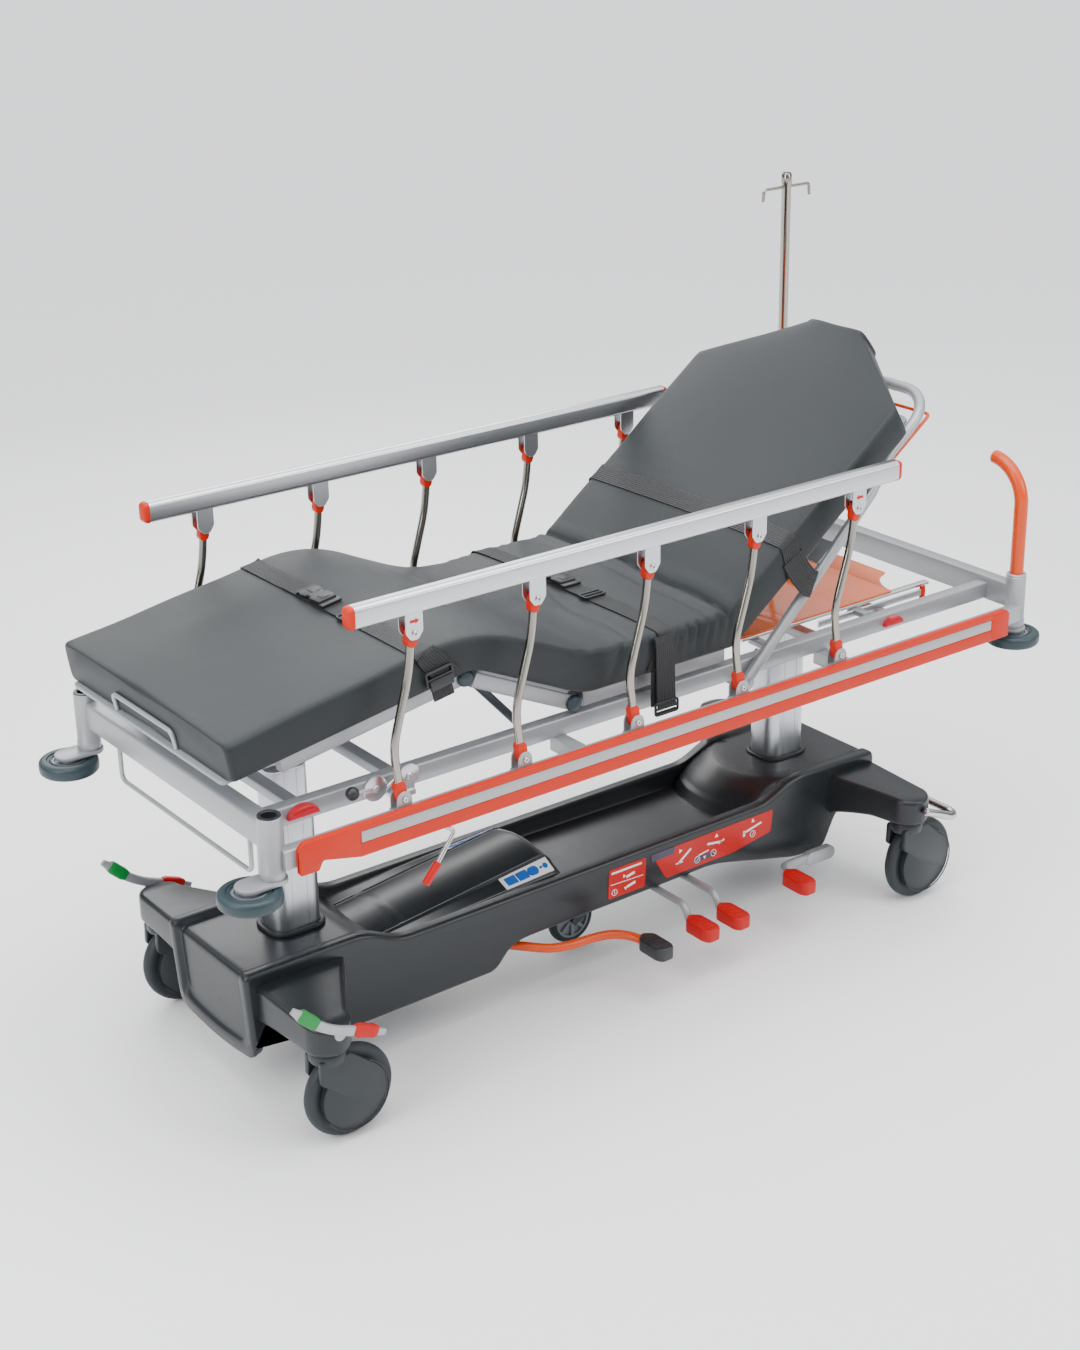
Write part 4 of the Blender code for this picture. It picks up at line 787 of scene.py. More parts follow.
def buildBrakes():
    for side, where in sides:
        line, (points, faces) = rockerPedal(side)
        tag = where.title()
        hub = spun([(0.0004, 0), (0.0125, 0), (0.0125, side * 0.0035), (0.010, side * 0.005), (0.0004, side * 0.005)],
                   (-0.862, side * 0.3865, 0.265), "Y", 28)
        points, faces = joined((points, faces), hub)
        makePiece("brakePedal" + tag, points, faces, silverPaint, "brake_pedals", 40,
                  ["foot_brake_pedal_" + where])
        points, faces = padAlong(line, 2, 9, 0.0165, 0.0275)
        makePiece("brakePadGreen" + tag, points, faces, greenPlastic, "brake_pedals", 40)
        points, faces = padAlong(line, len(line) - 8, len(line) - 1, 0.0165, 0.0275)
        makePiece("brakePadRed" + tag, points, faces, redPlastic, "brake_pedals", 40)
    half = [(0.742, 0.395, 0.252), (0.797, 0.395, 0.229), (0.827, 0.395, 0.214), (0.847, 0.387, 0.210),
            (0.856, 0.369, 0.210)]
    route = roundedLine([(a, -b, c) for a, b, c in half] + half[::-1], 0.02, 5)
    points, faces = pipe(route, 0.0095, (0, 0, 1), 20, 0.004)
    makePiece("headBrakeBar", points, faces, chromeMetal, "head_brake_bar", 50, ["head_brake_bar"])
    print("brakes made")


def footPad(x, y, z, big=1.0):
    # Moulded pedal pad: a pointed-ended block with a ribbed crown
    outline = np.array([(-0.023, 0.026), (0.0, 0.044), (0.023, 0.026), (0.0235, -0.034), (0.015, -0.0495),
                        (-0.015, -0.0495), (-0.0235, -0.034)]) * big
    body = slab(roundedLine(outline + np.array([x, y]), 0.008, 4, True), "Z", z - 0.0165, z + 0.0155, 0.005, 4)
    ribs = [block(x - 0.017, x + 0.017, y - 0.036 + i * 0.012, y - 0.031 + i * 0.012, z + 0.0145, z + 0.0168, 0.0008)
            for i in range(5)]
    return joined(body, *ribs)


def buildPedals():
    route = roundedLine([(-0.300, -0.060, 0.136), (-0.300, -0.085, 0.136), (-0.275, -0.110, 0.135),
                         (-0.230, -0.150, 0.130), (-0.195, -0.176, 0.124), (-0.150, -0.188, 0.121),
                         (-0.090, -0.194, 0.122), (-0.045, -0.206, 0.122), (-0.015, -0.234, 0.120),
                         (-0.002, -0.270, 0.117), (0.0, -0.285, 0.117)], 0.03, 6)
    points, faces = pipe(route, 0.0105, (0, 0, 1), 22)
    makePiece("wheelPedalTube", points, faces, orangePaint, "fifth_wheel_pedal", 50,
              ["fifth_wheel_pedal"])
    points, faces = footPad(0.0, -0.300, 0.117)
    makePiece("wheelPedalPad", points, faces, socketBlack, "fifth_wheel_pedal", 40)
    for tag, x, body in (("Foot", 0.135, "release_pedal_foot"), ("Head", 0.225, "release_pedal_head")):
        route = roundedLine([(x, -0.070, 0.150), (x, -0.236, 0.150), (x, -0.250, 0.140), (x, -0.258, 0.120),
                             (x, -0.272, 0.117)], 0.012, 5)
        points, faces = pipe(route, 0.0085, (1, 0, 0), 18)
        makePiece("releaseLever" + tag, points, faces, silverPaint, body, 50, [body])
        points, faces = footPad(x, -0.300, 0.117)
        makePiece("releasePad" + tag, points, faces, redPlastic, body, 40)
    eye = slab(stadium(0.560, 0.112, 0.620, 0.112, 0.0165, 10), "Y", -0.211, -0.189, 0.004, 3)
    lever = roundedLine([(0.580, -0.200, 0.113), (0.520, -0.200, 0.116), (0.474, -0.204, 0.118),
                         (0.456, -0.224, 0.119), (0.450, -0.262, 0.119)], 0.02, 5)
    points, faces = joined(eye, carried(lever, roundRect(0.016, 0.022, 0.006, 3)))
    makePiece("pumpLever", points, faces, silverPaint, "pump_pedal", 45, ["pump_pedal"])
    points, faces = footPad(0.450, -0.276, 0.119)
    makePiece("pumpPad", points, faces, redPlastic, "pump_pedal", 40)
    print("pedals made")


def buildFifthWheel():
    x, z = -0.003, 0.061
    points, faces = tyre(x, 0.0, z, 0.060, 0.0135, 0.046)
    made = makePiece("fifthTyre", points, faces, tyreRubber, "fifth_wheel", 50)
    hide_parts("fifth_wheel")
    spokes = [slab(stadium(x + 0.010 * math.cos(a), z + 0.010 * math.sin(a), x + 0.043 * math.cos(a),
                           z + 0.043 * math.sin(a), 0.0045), "Y", -0.0105, 0.0105, 0.001)
              for a in np.radians(np.arange(0, 360, 45))]
    rim = spun([(0.041, -0.0115), (0.047, -0.0115), (0.047, 0.0115), (0.041, 0.0115)], (x, 0, z), "Y", 60)
    web = spun([(0.008, -0.004), (0.043, -0.004), (0.043, 0.004), (0.008, 0.004)], (x, 0, z), "Y", 48)
    hub = spun([(0.0072, -0.0135), (0.0135, -0.0135), (0.0135, 0.0135), (0.0072, 0.0135)], (x, 0, z), "Y", 32)
    points, faces = joined(rim, web, hub, *spokes)
    makePiece("fifthHub", points, faces, hubGrey, "fifth_wheel", 40)
    for name in ("fifth_wheel_arm", "chassis", "pump_unit"):
        frame["nodes"][name].data.materials.clear()
        frame["nodes"][name].data.materials.append(darkSteel)
    print("fifth wheel made")


buildBrakes()
buildPedals()
buildFifthWheel()


# ------------------------------------------------------------ columns
def beam(axis, low, high, a0, a1, b0, b1, radius=0.004, bevel=0.0008):
    # A straight tube with rounded corners, along one axis
    outline = roundRect(a1 - a0, b1 - b0, radius, 3, ((a0 + a1) / 2, (b0 + b1) / 2))
    return slab(outline, axis, low, high, bevel, 1)


def columnStage(x, low, high, size, grooves):
    # Extruded column: rounded corners, and a pair of narrow grooves down each flat face
    length, width, radius = size
    outline = roundRect(length, width, radius, 7, (x, 0))
    parts = [slab(outline, "Z", low, high, 0.0015, 2)]
    for side in (-1, 1):
        for groove in grooves:
            y0, y1 = sorted((side * (width / 2 - 0.0006), side * (width / 2 + 0.0009)))
            parts.append(block(x + groove - 0.0012, x + groove + 0.0012, y0, y1, low + 0.004, high - 0.004, 0.0004))
    return joined(*parts)


def buildColumns():
    for end, x in (("foot", -0.735), ("head", 0.630)):
        name = f"{end}_column_middle"
        points, faces = columnStage(x, 0.143, 0.560, (0.112, 0.092, 0.030), (-0.018, 0.018))
        makePiece(end + "ColumnMiddle", points, faces, columnMetal, name, 40, [name])
        collar = roundRect(0.108, 0.088, 0.029, 7, (x, 0))
        points, faces = slab(collar, "Z", 0.5575, 0.5635, 0.0012, 2)
        makePiece(end + "ColumnSeal", points, faces, deepBlack, name, 40)
        name = f"{end}_column_top"
        points, faces = columnStage(x, 0.332, 0.664, (0.094, 0.074, 0.024), (-0.014, 0.014))
        lug = slab(stadium(x, 0.662, x, 0.700, 0.0165, 8), "Y", -0.0195, 0.0195, 0.002)
        cap = slab(roundRect(0.094, 0.074, 0.024, 7, (x, 0)), "Z", 0.6635, 0.668, 0.0015, 2)
        pin = slab(circle(0.009, 24) + np.array([x, 0.700]), "Y", -0.052, 0.052, 0.001)
        points, faces = joined((points, faces), lug, cap, pin)
        makePiece(end + "ColumnTop", points, faces, columnMetal, name, 40, [name])
    print("columns made")


buildColumns()

# ------------------------------------------------------------ upper frame
posts = {"foot": -0.9765, "head": 1.0265, "y": 0.3725, "radius": 0.0235}
guardX = [-0.700 + 0.2845 * i for i in range(5)]


def cornerPost(x, y, rollerX):
    # Upright tube with a turned collar at its foot and a round-ended plate under it for the bumper
    profile = [(0.0175, 0.7648), (0.0190, 0.7660), (0.0222, 0.7660), (0.0235, 0.7648), (0.0235, 0.6600),
               (0.0250, 0.6580), (0.0250, 0.6420), (0.0240, 0.6400), (0.0175, 0.6400)]
    tubeWall = spun(profile, (x, y, 0), "Z", 36)
    plate = slab(stadium(x, y, rollerX - 0.0001, y, 0.0285, 12), "Z", 0.6315, 0.6405, 0.002)
    bolt = spun([(0.0003, 0.592), (0.0120, 0.592), (0.0150, 0.5945), (0.0150, 0.5985), (0.0075, 0.5985),
                 (0.0075, 0.632), (0.0003, 0.632)], (rollerX, y, 0), "Z", 28)
    return [tubeWall, plate, bolt]


def buildFrame():
    length = (posts["foot"], posts["head"])
    parts = [slab(roundRect(0.040, 0.058, 0.006, 3, (length[0] + 0.010, 0.719)), "Y", -0.3725, 0.3725, 0.0008, 1),
             slab(roundRect(0.036, 0.058, 0.006, 3, (length[1] - 0.004, 0.719)), "Y", -0.3725, 0.3725, 0.0008, 1)]
    for side in (-1, 1):
        y0, y1 = sorted((side * 0.275, side * 0.305))
        parts.append(beam("X", length[0] + 0.012, length[1] - 0.012, y0, y1, 0.695, 0.735, 0.005))
        y0, y1 = sorted((side * 0.374, side * 0.405))
        parts.append(beam("X", length[0] + 0.010, length[1] - 0.014, y0, y1, 0.660, 0.700, 0.005))
        y0, y1 = sorted((side * 0.288, side * 0.382))
        for x in (-0.255, 0.480):
            parts.append(block(x - 0.015, x + 0.015, y0, y1, 0.664, 0.698, 0.003))
        for x in guardX:
            for cheek in (-1, 1):
                y0, y1 = sorted((side * 0.390 + cheek * 0.0103, side * 0.390 + cheek * 0.0136))
                outline = [(x - 0.0168, 0.697), (x + 0.0168, 0.697), (x + 0.0168, 0.730), (x + 0.009, 0.742),
                           (x - 0.009, 0.742), (x - 0.0168, 0.730)]
                parts.append(slab(roundedLine(outline, 0.007, 4, True), "Y", y0, y1, 0.0006, 1))
            y = side * 0.390
            parts.append(block(x - 0.019, x + 0.019, y - 0.0145, y + 0.0145, 0.699, 0.7035, 0.001))
        y0, y1 = sorted((side * 0.277, side * 0.303))
        lug = [(0.213, 0.700), (0.216, 0.680), (0.235, 0.671), (0.254, 0.680), (0.257, 0.700)]
        parts.append(slab(roundedLine(lug, 0.012, 4, True), "Y", y0, y1, 0.001, 1))
        for x in (0.340, 0.640):
            y0, y1 = sorted((side * 0.224, side * 0.278))
            parts.append(block(x - 0.012, x + 0.012, y0, y1, 0.727, 0.739, 0.002))
        for x in (-0.735, 0.630):
            y0, y1 = sorted((side * 0.0285, side * 0.0355))
            strap = [(x - 0.112, 0.684), (x + 0.112, 0.684), (x + 0.112, 0.712), (x + 0.030, 0.722),
                     (x - 0.030, 0.722), (x - 0.112, 0.712)]
            parts.append(slab(np.array(strap), "Y", y0, y1, 0.0008, 1))
            parts.append(screw(x, side * 0.0525, 0.700, 0.011, "Y", side))
        for x, roller in ((length[0], -1.0265), (length[1], 1.0265)):
            parts += cornerPost(x, side * posts["y"], roller)
    for x in (-0.735, 0.630):
        for offset in (-0.110, 0.110):
            parts.append(block(x + offset - 0.015, x + offset + 0.015, -0.278, 0.278, 0.6845, 0.7058, 0.003))
    parts.append(block(-0.015, 0.015, -0.278, 0.278, 0.700, 0.730, 0.003))
    socket = [(0.0142, 0.7795), (0.0150, 0.7805), (0.0176, 0.7805), (0.0185, 0.7795), (0.0185, 0.666), (0.0142, 0.666)]
    parts.append(spun(socket, (0.967, 0.3725, 0), "Z", 30))
    hanger = roundedLine([(-0.960, -0.264, 0.718), (-0.960, -0.264, 0.600), (-0.960, 0.264, 0.600),
                          (-0.960, 0.264, 0.718)], 0.020, 6)
    parts.append(pipe(hanger, 0.005, (1, 0, 0), 14))
    points, faces = joined(*parts)
    makePiece("upperFrame", points, faces, silverPaint, "upper_frame", 38, ["upper_frame"])
    print("upper frame made")


def buildFrameFittings():
    # Screws through the brackets, black sleeves in the foot posts, the indicators, and levers by the near
    # foot corner
    parts = []
    for side in (-1, 1):
        parts += [screw(x, side * 0.4040, 0.726, 0.0062, "Y", side) for x in guardX]
    points, faces = joined(*parts)
    makePiece("bracketScrews", points, faces, chromeMetal, "upper_frame", 40)
    sleeves = []
    for side in (-1, 1):
        ring = [(0.0150, 0.735), (0.0150, 0.7668), (0.0162, 0.7680), (0.0222, 0.7680), (0.0230, 0.7662),
                (0.0176, 0.7655), (0.0165, 0.735)]
        sleeves.append(spun(ring, (posts["foot"], side * posts["y"], 0), "Z", 32))
    points, faces = joined(*sleeves)
    makePiece("postSleeves", points, faces, socketBlack, "upper_frame", 40)
    parts = []
    for x, y, size in ((-0.869, -0.3095, 0.034), (0.690, -0.3095, 0.028)):
        a = np.linspace(0, pi, 18)
        half = np.stack([x + size * np.cos(a), 0.712 - 0.003 + size * np.sin(a) * 0.75], 1)
        parts.append(slab(half, "Y", y - 0.010, y + 0.006, 0.003))
    points, faces = joined(*parts)
    makePiece("tiltIndicators", points, faces, redLens, "upper_frame", 40)
    parts = [slab(circle(0.0245, 32) + np.array([-0.653, 0.742]), "Y", -0.3490, -0.3450, 0.001),
             block(-0.690, -0.640, -0.352, -0.306, 0.700, 0.712, 0.002),
             block(-0.668, -0.640, -0.3480, -0.3440, 0.706, 0.735, 0.001),
             pipe(roundedLine([(-0.700, -0.330, 0.718), (-0.672, -0.330, 0.735), (-0.640, -0.330, 0.720)], 0.01, 4),
                  0.0045, (0, 1, 0), 12),
             screw(-0.653, -0.3490, 0.742, 0.007, "Y", -1)]
    points, faces = joined(*parts)
    makePiece("latchBracket", points, faces, plateMetal, "upper_frame", 40)
    under = roundedLine([(-0.640, -0.395, 0.660), (-0.613, -0.402, 0.6425), (-0.593, -0.410, 0.630),
                         (-0.641, -0.414, 0.572)], 0.011, 6)
    points, faces = pipe(under, 0.0044, (0, 1, 0), 14)
    makePiece("guardLever", points, faces, chromeMetal, "upper_frame", 40)
    points, faces = pipe(np.array([(-0.639, -0.414, 0.5745), (-0.648, -0.414, 0.564), (-0.667, -0.414, 0.542)]), 0.0085,
                         (0, 1, 0), 16, 0.004)
    makePiece("guardLeverTip", points, faces, redPlastic, "upper_frame", 40)
    points, faces = beam("X", 0.520, 0.860, -0.2475, -0.2415, 0.722, 0.738, 0.002)
    makePiece("trayRail", points, faces, plateMetal, "upper_frame", 40)
    points, faces = block(0.845, 0.858, -0.249, -0.2405, 0.700, 0.745, 0.002)
    makePiece("trayTab", points, faces, orangePlastic, "upper_frame", 40)
    print("frame fittings made")


def buildBumpers():
    for end, x in (("foot", -1.0265), ("head", 1.0265)):
        for side, where in sides:
            name, y = f"bumper_{end}_{where}", side * posts["y"]
            tag = end.title() + where.title()
            ring = [(0.036, 0.6030), (0.038, 0.6010), (0.052, 0.6000), (0.0580, 0.6015), (0.0615, 0.6050),
                    (0.0625, 0.6100), (0.0625, 0.6200), (0.0615, 0.6250), (0.0580, 0.6285), (0.052, 0.6298),
                    (0.046, 0.6300), (0.044, 0.6275), (0.041, 0.6275), (0.039, 0.6300), (0.036, 0.6285)]
            points, faces = spun(ring, (x, y, 0), "Z", 72)
            makePiece("bumper" + tag, points, faces, bumperRubber, name, 50, [name])
            hub = [(0.0092, 0.6035), (0.0365, 0.6035), (0.0365, 0.6265), (0.030, 0.6265), (0.028, 0.6235),
                   (0.018, 0.6235), (0.016, 0.6290), (0.0092, 0.6290)]
            points, faces = spun(hub, (x, y, 0), "Z", 48)
            makePiece("bumperHub" + tag, points, faces, hubGrey, name, 40)
    print("bumpers made")


def buildStrips():
    for side, where in sides:
        name, tag = "side_strip_" + where, where.title()
        y0, y1 = sorted((side * 0.4053, side * 0.4165))
        outline = [(-0.944, 0.648), (-0.944, 0.701), (-0.932, 0.713), (0.948, 0.713), (0.958, 0.705), (0.958, 0.645),
                   (-0.812, 0.645), (-0.894, 0.665), (-0.903, 0.648)]
        body = slab(roundedLine(outline, 0.006, 4, True), "Y", y0, y1, 0.002)
        bands = []
        for z0, z1 in ((0.6985, 0.7115), (0.6465, 0.6735)):
            b0, b1 = sorted((side * 0.4155, side * 0.4192))
            bands.append(beam("X", -0.814, 0.905, b0, b1, z0, z1, 0.0016))
        ends = []
        b0, b1 = sorted((side * 0.4100, side * 0.4195))
        for shape in ([(-0.9440, 0.6475), (-0.9440, 0.7025), (-0.9340, 0.7125), (-0.8120, 0.7125), (-0.8120, 0.6465),
                       (-0.8940, 0.6655), (-0.9030, 0.6475)],
                      [(0.900, 0.6465), (0.900, 0.7125), (0.948, 0.7125), (0.958, 0.704), (0.958, 0.6465)]):
            ends.append(slab(roundedLine(shape, 0.005, 4, True), "Y", b0, b1, 0.002))
        points, faces = joined(body, *bands, *ends)
        makePiece("strip" + tag, points, faces, orangePlastic, "upper_frame", 40, [name])
        b0, b1 = sorted((side * 0.4150, side * 0.4178))
        points, faces = beam("X", -0.808, 0.900, b0, b1, 0.6743, 0.6977, 0.0008, 0.0004)
        makePiece("stripFoil" + tag, points, faces, foil, "upper_frame", 40)
    print("strips made")


buildFrame()
buildFrameFittings()
buildBumpers()
buildStrips()


# ------------------------------------------------------------ shelf, handles and pole
def buildShelf():
    half, z = 0.238, 0.748
    scoop = [(0.855 + 0.098 * math.cos(a), -half - 0.010 + 0.108 * math.sin(a))
             for a in np.radians(168 - 11 * np.arange(7))]
    outline = [(0.290, -half), (0.760, -half)] + scoop
    outline += [(x, -y) for x, y in reversed(outline[1:])] + [(0.290, half)]
    points, faces = slab(roundedLine(outline, 0.006, 3, True), "Z", z, z + 0.005, 0.0012)
    makePiece("shelfSheet", points, faces, orangeAcrylic, "shelf_tray", 40, ["shelf_tray"])
    points, faces = joined(*[beam("X", 0.300, 0.880, *sorted((side * 0.222, side * 0.238)), 0.7397, 0.7478, 0.002)
                             for side in (-1, 1)])
    makePiece("shelfRunners", points, faces, plateMetal, "shelf_tray", 40)
    print("shelf made")


def buildHandles():
    for side, where in sides:
        y, tag = side * posts["y"], where.title()
        a = np.radians(np.linspace(0, 84, 18))
        bend = np.stack([np.full(18, 1.0265), y - side * 0.096 * (1 - np.cos(a)), 0.936 + 0.096 * np.sin(a)], 1)
        route = np.concatenate([[(1.0265, y, 0.667), (1.0265, y, 0.760), (1.0265, y, 0.850)], bend])
        points, faces = pipe(route, 0.016, (1, 0, 0), 28, 0.004)
        name = "push_handle_" + where
        makePiece("pushHandle" + tag, points, faces, orangePaint, name, 50, [name])
        ring = [(0.0163, 0.7662), (0.0225, 0.7662), (0.0225, 0.7702), (0.0205, 0.7722), (0.0163, 0.7722)]
        points, faces = spun(ring, (1.0265, y, 0), "Z", 30)
        makePiece("handleCollar" + tag, points, faces, silverPaint, name, 40)


def buildPole():
    x, y = 0.967, posts["y"]
    profile = [(0.0003, 0.686), (0.0105, 0.686), (0.0115, 0.687), (0.0115, 1.572), (0.0128, 1.574), (0.0128, 1.594),
               (0.0100, 1.600), (0.0003, 1.600)]
    hooks = roundedLine([(x - 0.075, y, 1.540), (x - 0.073, y, 1.566), (x + 0.073, y, 1.566), (x + 0.075, y, 1.540)],
                        0.008, 5)
    points, faces = joined(spun(profile, (x, y, 0), "Z", 24), pipe(hooks, 0.004, (0, 1, 0), 14, 0.002))
    makePiece("ivPole", points, faces, stainless, "iv_pole", 50, ["iv_pole"])
    print("handles and pole made")


buildShelf()
buildHandles()
buildPole()


# ------------------------------------------------------------ side guards
def railSections(y, low, high):
    # Extruded handrail: a tall section with rounded corners, flat on top and underneath
    outline = roundRect(0.031, 0.045, 0.0105, 6, (y, 1.1125))
    return slab(outline, "X", low, high, 0.0006, 1)


def buildGuards():
    for side, where in sides:
        y, tag = side * 0.390, where.title()
        for i, x in enumerate(guardX):
            name = f"guard_post_{where}_{i + 1}"
            route = roundedLine([(x, y, 0.722), (x - 0.004, y, 0.760), (x - 0.013, y, 0.830), (x + 0.027, y, 0.965),
                                 (x + 0.034, y, 1.015), (x + 0.0375, y, 1.058)], 0.035, 7)
            points, faces = pipe(route, 0.0085, (0, 1, 0), 20)
            makePiece(f"guardPost{tag}{i + 1}", points, faces, stainless, name, 50, [name])
            low = slab(stadium(x, 0.7265, x - 0.0035, 0.7515, 0.0112, 8), "Y", y - 0.0098, y + 0.0098, 0.0025)
            top = slab(stadium(x + 0.0345, 1.0350, x + 0.0375, 1.0535, 0.0112, 8), "Y", y - 0.0098, y + 0.0098, 0.0025)
            points, faces = joined(low, top)
            makePiece(f"guardKnuckle{tag}{i + 1}", points, faces, orangePlastic, name, 40)
        parts = [railSections(y, -0.7905, 0.5895)]
        screws = []
        for x in guardX:
            x = x + 0.0375
            for cheek in (-1, 1):
                y0, y1 = sorted((y + cheek * 0.0103, y + cheek * 0.0136))
                outline = [(x - 0.0195, 1.098), (x + 0.0195, 1.098), (x + 0.0195, 1.056), (x + 0.008, 1.0405),
                           (x - 0.008, 1.0405), (x - 0.0195, 1.056)]
                parts.append(slab(roundedLine(outline, 0.004, 3, True), "Y", y0, y1, 0.0006, 1))
            screws.append(screw(x, y + side * 0.0138, 1.054, 0.0062, "Y", side))
        points, faces = joined(*parts)
        name = "guard_rail_" + where
        makePiece("guardRail" + tag, points, faces, railMetal, name, 40, [name])
        points, faces = joined(*screws)
        makePiece("railScrews" + tag, points, faces, chromeMetal, name, 40)
        caps = []
        for x, out in ((-0.7905, -1), (0.5895, 1)):
            sections = []
            for t in np.linspace(0, 1, 7):
                grow = math.sqrt(max(1 - t * t, 0.0025))
                size = 0.55 + 0.45 * grow
                ring = roundRect(0.0316 * size, 0.0456 * size, 0.0100 * grow + 0.0004, 6,
                                 (y, 1.1125))
                sections.append(np.stack([np.full(len(ring), x + out * 0.0125 * t), ring[:, 0], ring[:, 1]], 1))
            caps.append(loftParts(sections))
        points, faces = joined(*caps)
        makePiece("railCaps" + tag, points, faces, orangePlastic, name, 50)
        arrows = []
        for x, turn in ((guardX[0] + 0.0375, 1), (guardX[4] + 0.0375, -1)):
            shape = [(x - 0.010 * turn, 1.0755), (x + 0.002 * turn, 1.0755), (x + 0.002 * turn, 1.0725),
                     (x + 0.0105 * turn, 1.0785), (x + 0.002 * turn, 1.0845), (x + 0.002 * turn, 1.0815),
                     (x - 0.010 * turn, 1.0815)]
            y0, y1 = sorted((y + side * 0.0134, y + side * 0.0141))
            arrows.append(slab(np.array(shape), "Y", y0, y1, 0.0001, 1))
        points, faces = joined(*arrows)
        makePiece("railArrows" + tag, points, faces, labelRed, name, 40)
        name = "guard_latch_" + where
        y0, y1 = sorted((side * 0.3518, side * 0.3585))
        disc = slab(circle(0.026, 36) + np.array([-0.735, 0.742]), "Y", y0, y1, 0.0015)
        arm = pipe(np.array([(-0.735, side * 0.3552, 0.742), (-0.760, side * 0.360, 0.7465),
                             (-0.785, side * 0.365, 0.751)]), 0.0038, (0, 1, 0), 14)
        bolt = screw(-0.735, side * 0.3585, 0.742, 0.0075, "Y", side)
        points, faces = joined(disc, arm, bolt)
        makePiece("latchDisc" + tag, points, faces, plateMetal, name, 40, replaces=[name])
        a = np.linspace(-pi / 2, pi / 2, 13)
        ball = np.stack([np.maximum(0.0135 * np.cos(a), 0.0003), 0.0135 * np.sin(a)], 1)
        points, faces = spun(ball, (-0.792, side * 0.366, 0.752), "Z", 28)
        makePiece("latchKnob" + tag, points, faces, deepBlack, name, 50)
    print("side guards made")


buildGuards()


# ------------------------------------------------------------ mattress support
def tilted(part, origin, degrees):
    # A section's own points (along, across, above) turned about Y and set at its hinge
    points, faces = part
    a = math.radians(degrees)
    x = points[:, 0] * math.cos(a) + points[:, 2] * math.sin(a)
    z = points[:, 2] * math.cos(a) - points[:, 0] * math.sin(a)
    return np.stack([x, points[:, 1], z], 1) + np.asarray(origin, float), faces


hip = (-0.215, 0, 0.757)
knee = (-0.4815, 0, 0.8835)
backHinge = (0.235, 0, 0.690)


def deckTubes(low, high, z=0.0):
    return [beam("X", low, high, *sorted((side * 0.2727, side * 0.2975)), z - 0.0172, z + 0.0172, 0.005)
            for side in (-1, 1)]


def deckPanel(low, high, z0, z1, half=0.304):
    return slab(roundRect(high - low, 2 * half, 0.012, 4, ((low + high) / 2, 0)), "Z", z0, z1, 0.0012)


def buildDeck():
    parts = deckTubes(-0.189, 0.195, 0.7572)
    parts += [block(-0.205, -0.160, *sorted((side * 0.2640, side * 0.2714)), 0.7435, 0.7705, 0.004) for side in (-1, 1)]
    points, faces = joined(*parts)
    makePiece("seatTubes", points, faces, silverPaint, "upper_frame", 40, ["seat_deck"])
    points, faces = deckPanel(-0.189, 0.195, 0.7745, 0.7824)
    makePiece("seatPanel", points, faces, deckGrey, "upper_frame", 40)
    round0 = [slab(circle(0.0173, 26), "Y", *sorted((side * 0.2727, side * 0.2975)), 0.001) for side in (-1, 1)]
    inner = [block(-0.275, -0.215, *sorted((side * 0.2632, side * 0.2712)), -0.012, 0.012, 0.003) for side in (-1, 1)]
    points, faces = joined(*[tilted(p, hip, 25.4) for p in deckTubes(-0.270, -0.004) + round0 + inner])
    makePiece("thighTubes", points, faces, silverPaint, "thigh", 40, ["thigh_frame"])
    points, faces = tilted(deckPanel(-0.270, -0.022, 0.0173, 0.0255), hip, 25.4)
    makePiece("thighPanel", points, faces, deckGrey, "thigh", 40)
    rod = roundedLine([(-0.544, 0.120, 0.020), (-0.546, 0.120, 0.064), (-0.546, -0.120, 0.064),
                       (-0.544, -0.120, 0.020)],
                      0.016, 6)
    legParts = deckTubes(-0.425, -0.004) + round0 + [pipe(rod, 0.005, (1, 0, 0), 16)]
    points, faces = joined(*[tilted(p, knee, -9.0) for p in legParts])
    makePiece("legTubes", points, faces, silverPaint, "leg", 40, ["leg_frame"])
    points, faces = tilted(deckPanel(-0.552, -0.022, 0.0173, 0.0255), knee, -9.0)
    makePiece("legPanel", points, faces, deckGrey, "leg", 40)
    caps = []
    for side in (-1, 1):
        dome = [(0.0003, 0.0), (0.0178, 0.0), (0.0185, side * 0.0025), (0.0165, side * 0.0075), (0.010, side * 0.0105),
                (0.0003, side * 0.0115)]
        caps.append(spun(dome, (hip[0], side * 0.2978, hip[2]), "Y", 32))
        caps.append(spun(dome, (knee[0], side * 0.2978, knee[2]), "Y", 32))
    points, faces = joined(*caps)
    makePiece("hingeCaps", points, faces, capTeal, "thigh", 50)
    print("deck made")


def buildStrut():
    # Flat-sided strut with an eye at its top, leaning down towards the head end
    top = (-0.445, 0, 0.866)
    eye = slab(circle(0.013, 26), "Y", -0.248, -0.232, 0.002)
    outline = roundRect(0.017, 0.0165, 0.004, 3, (0, -0.240))
    bar = slab(outline, "Z", -0.188, 0.0, 0.001)
    points, faces = joined(*[tilted(p, top, -42.0) for p in (eye, bar)])
    makePiece("kneeStrut", points, faces, darkSteel, "knee_strut", 40, ["knee_strut"])


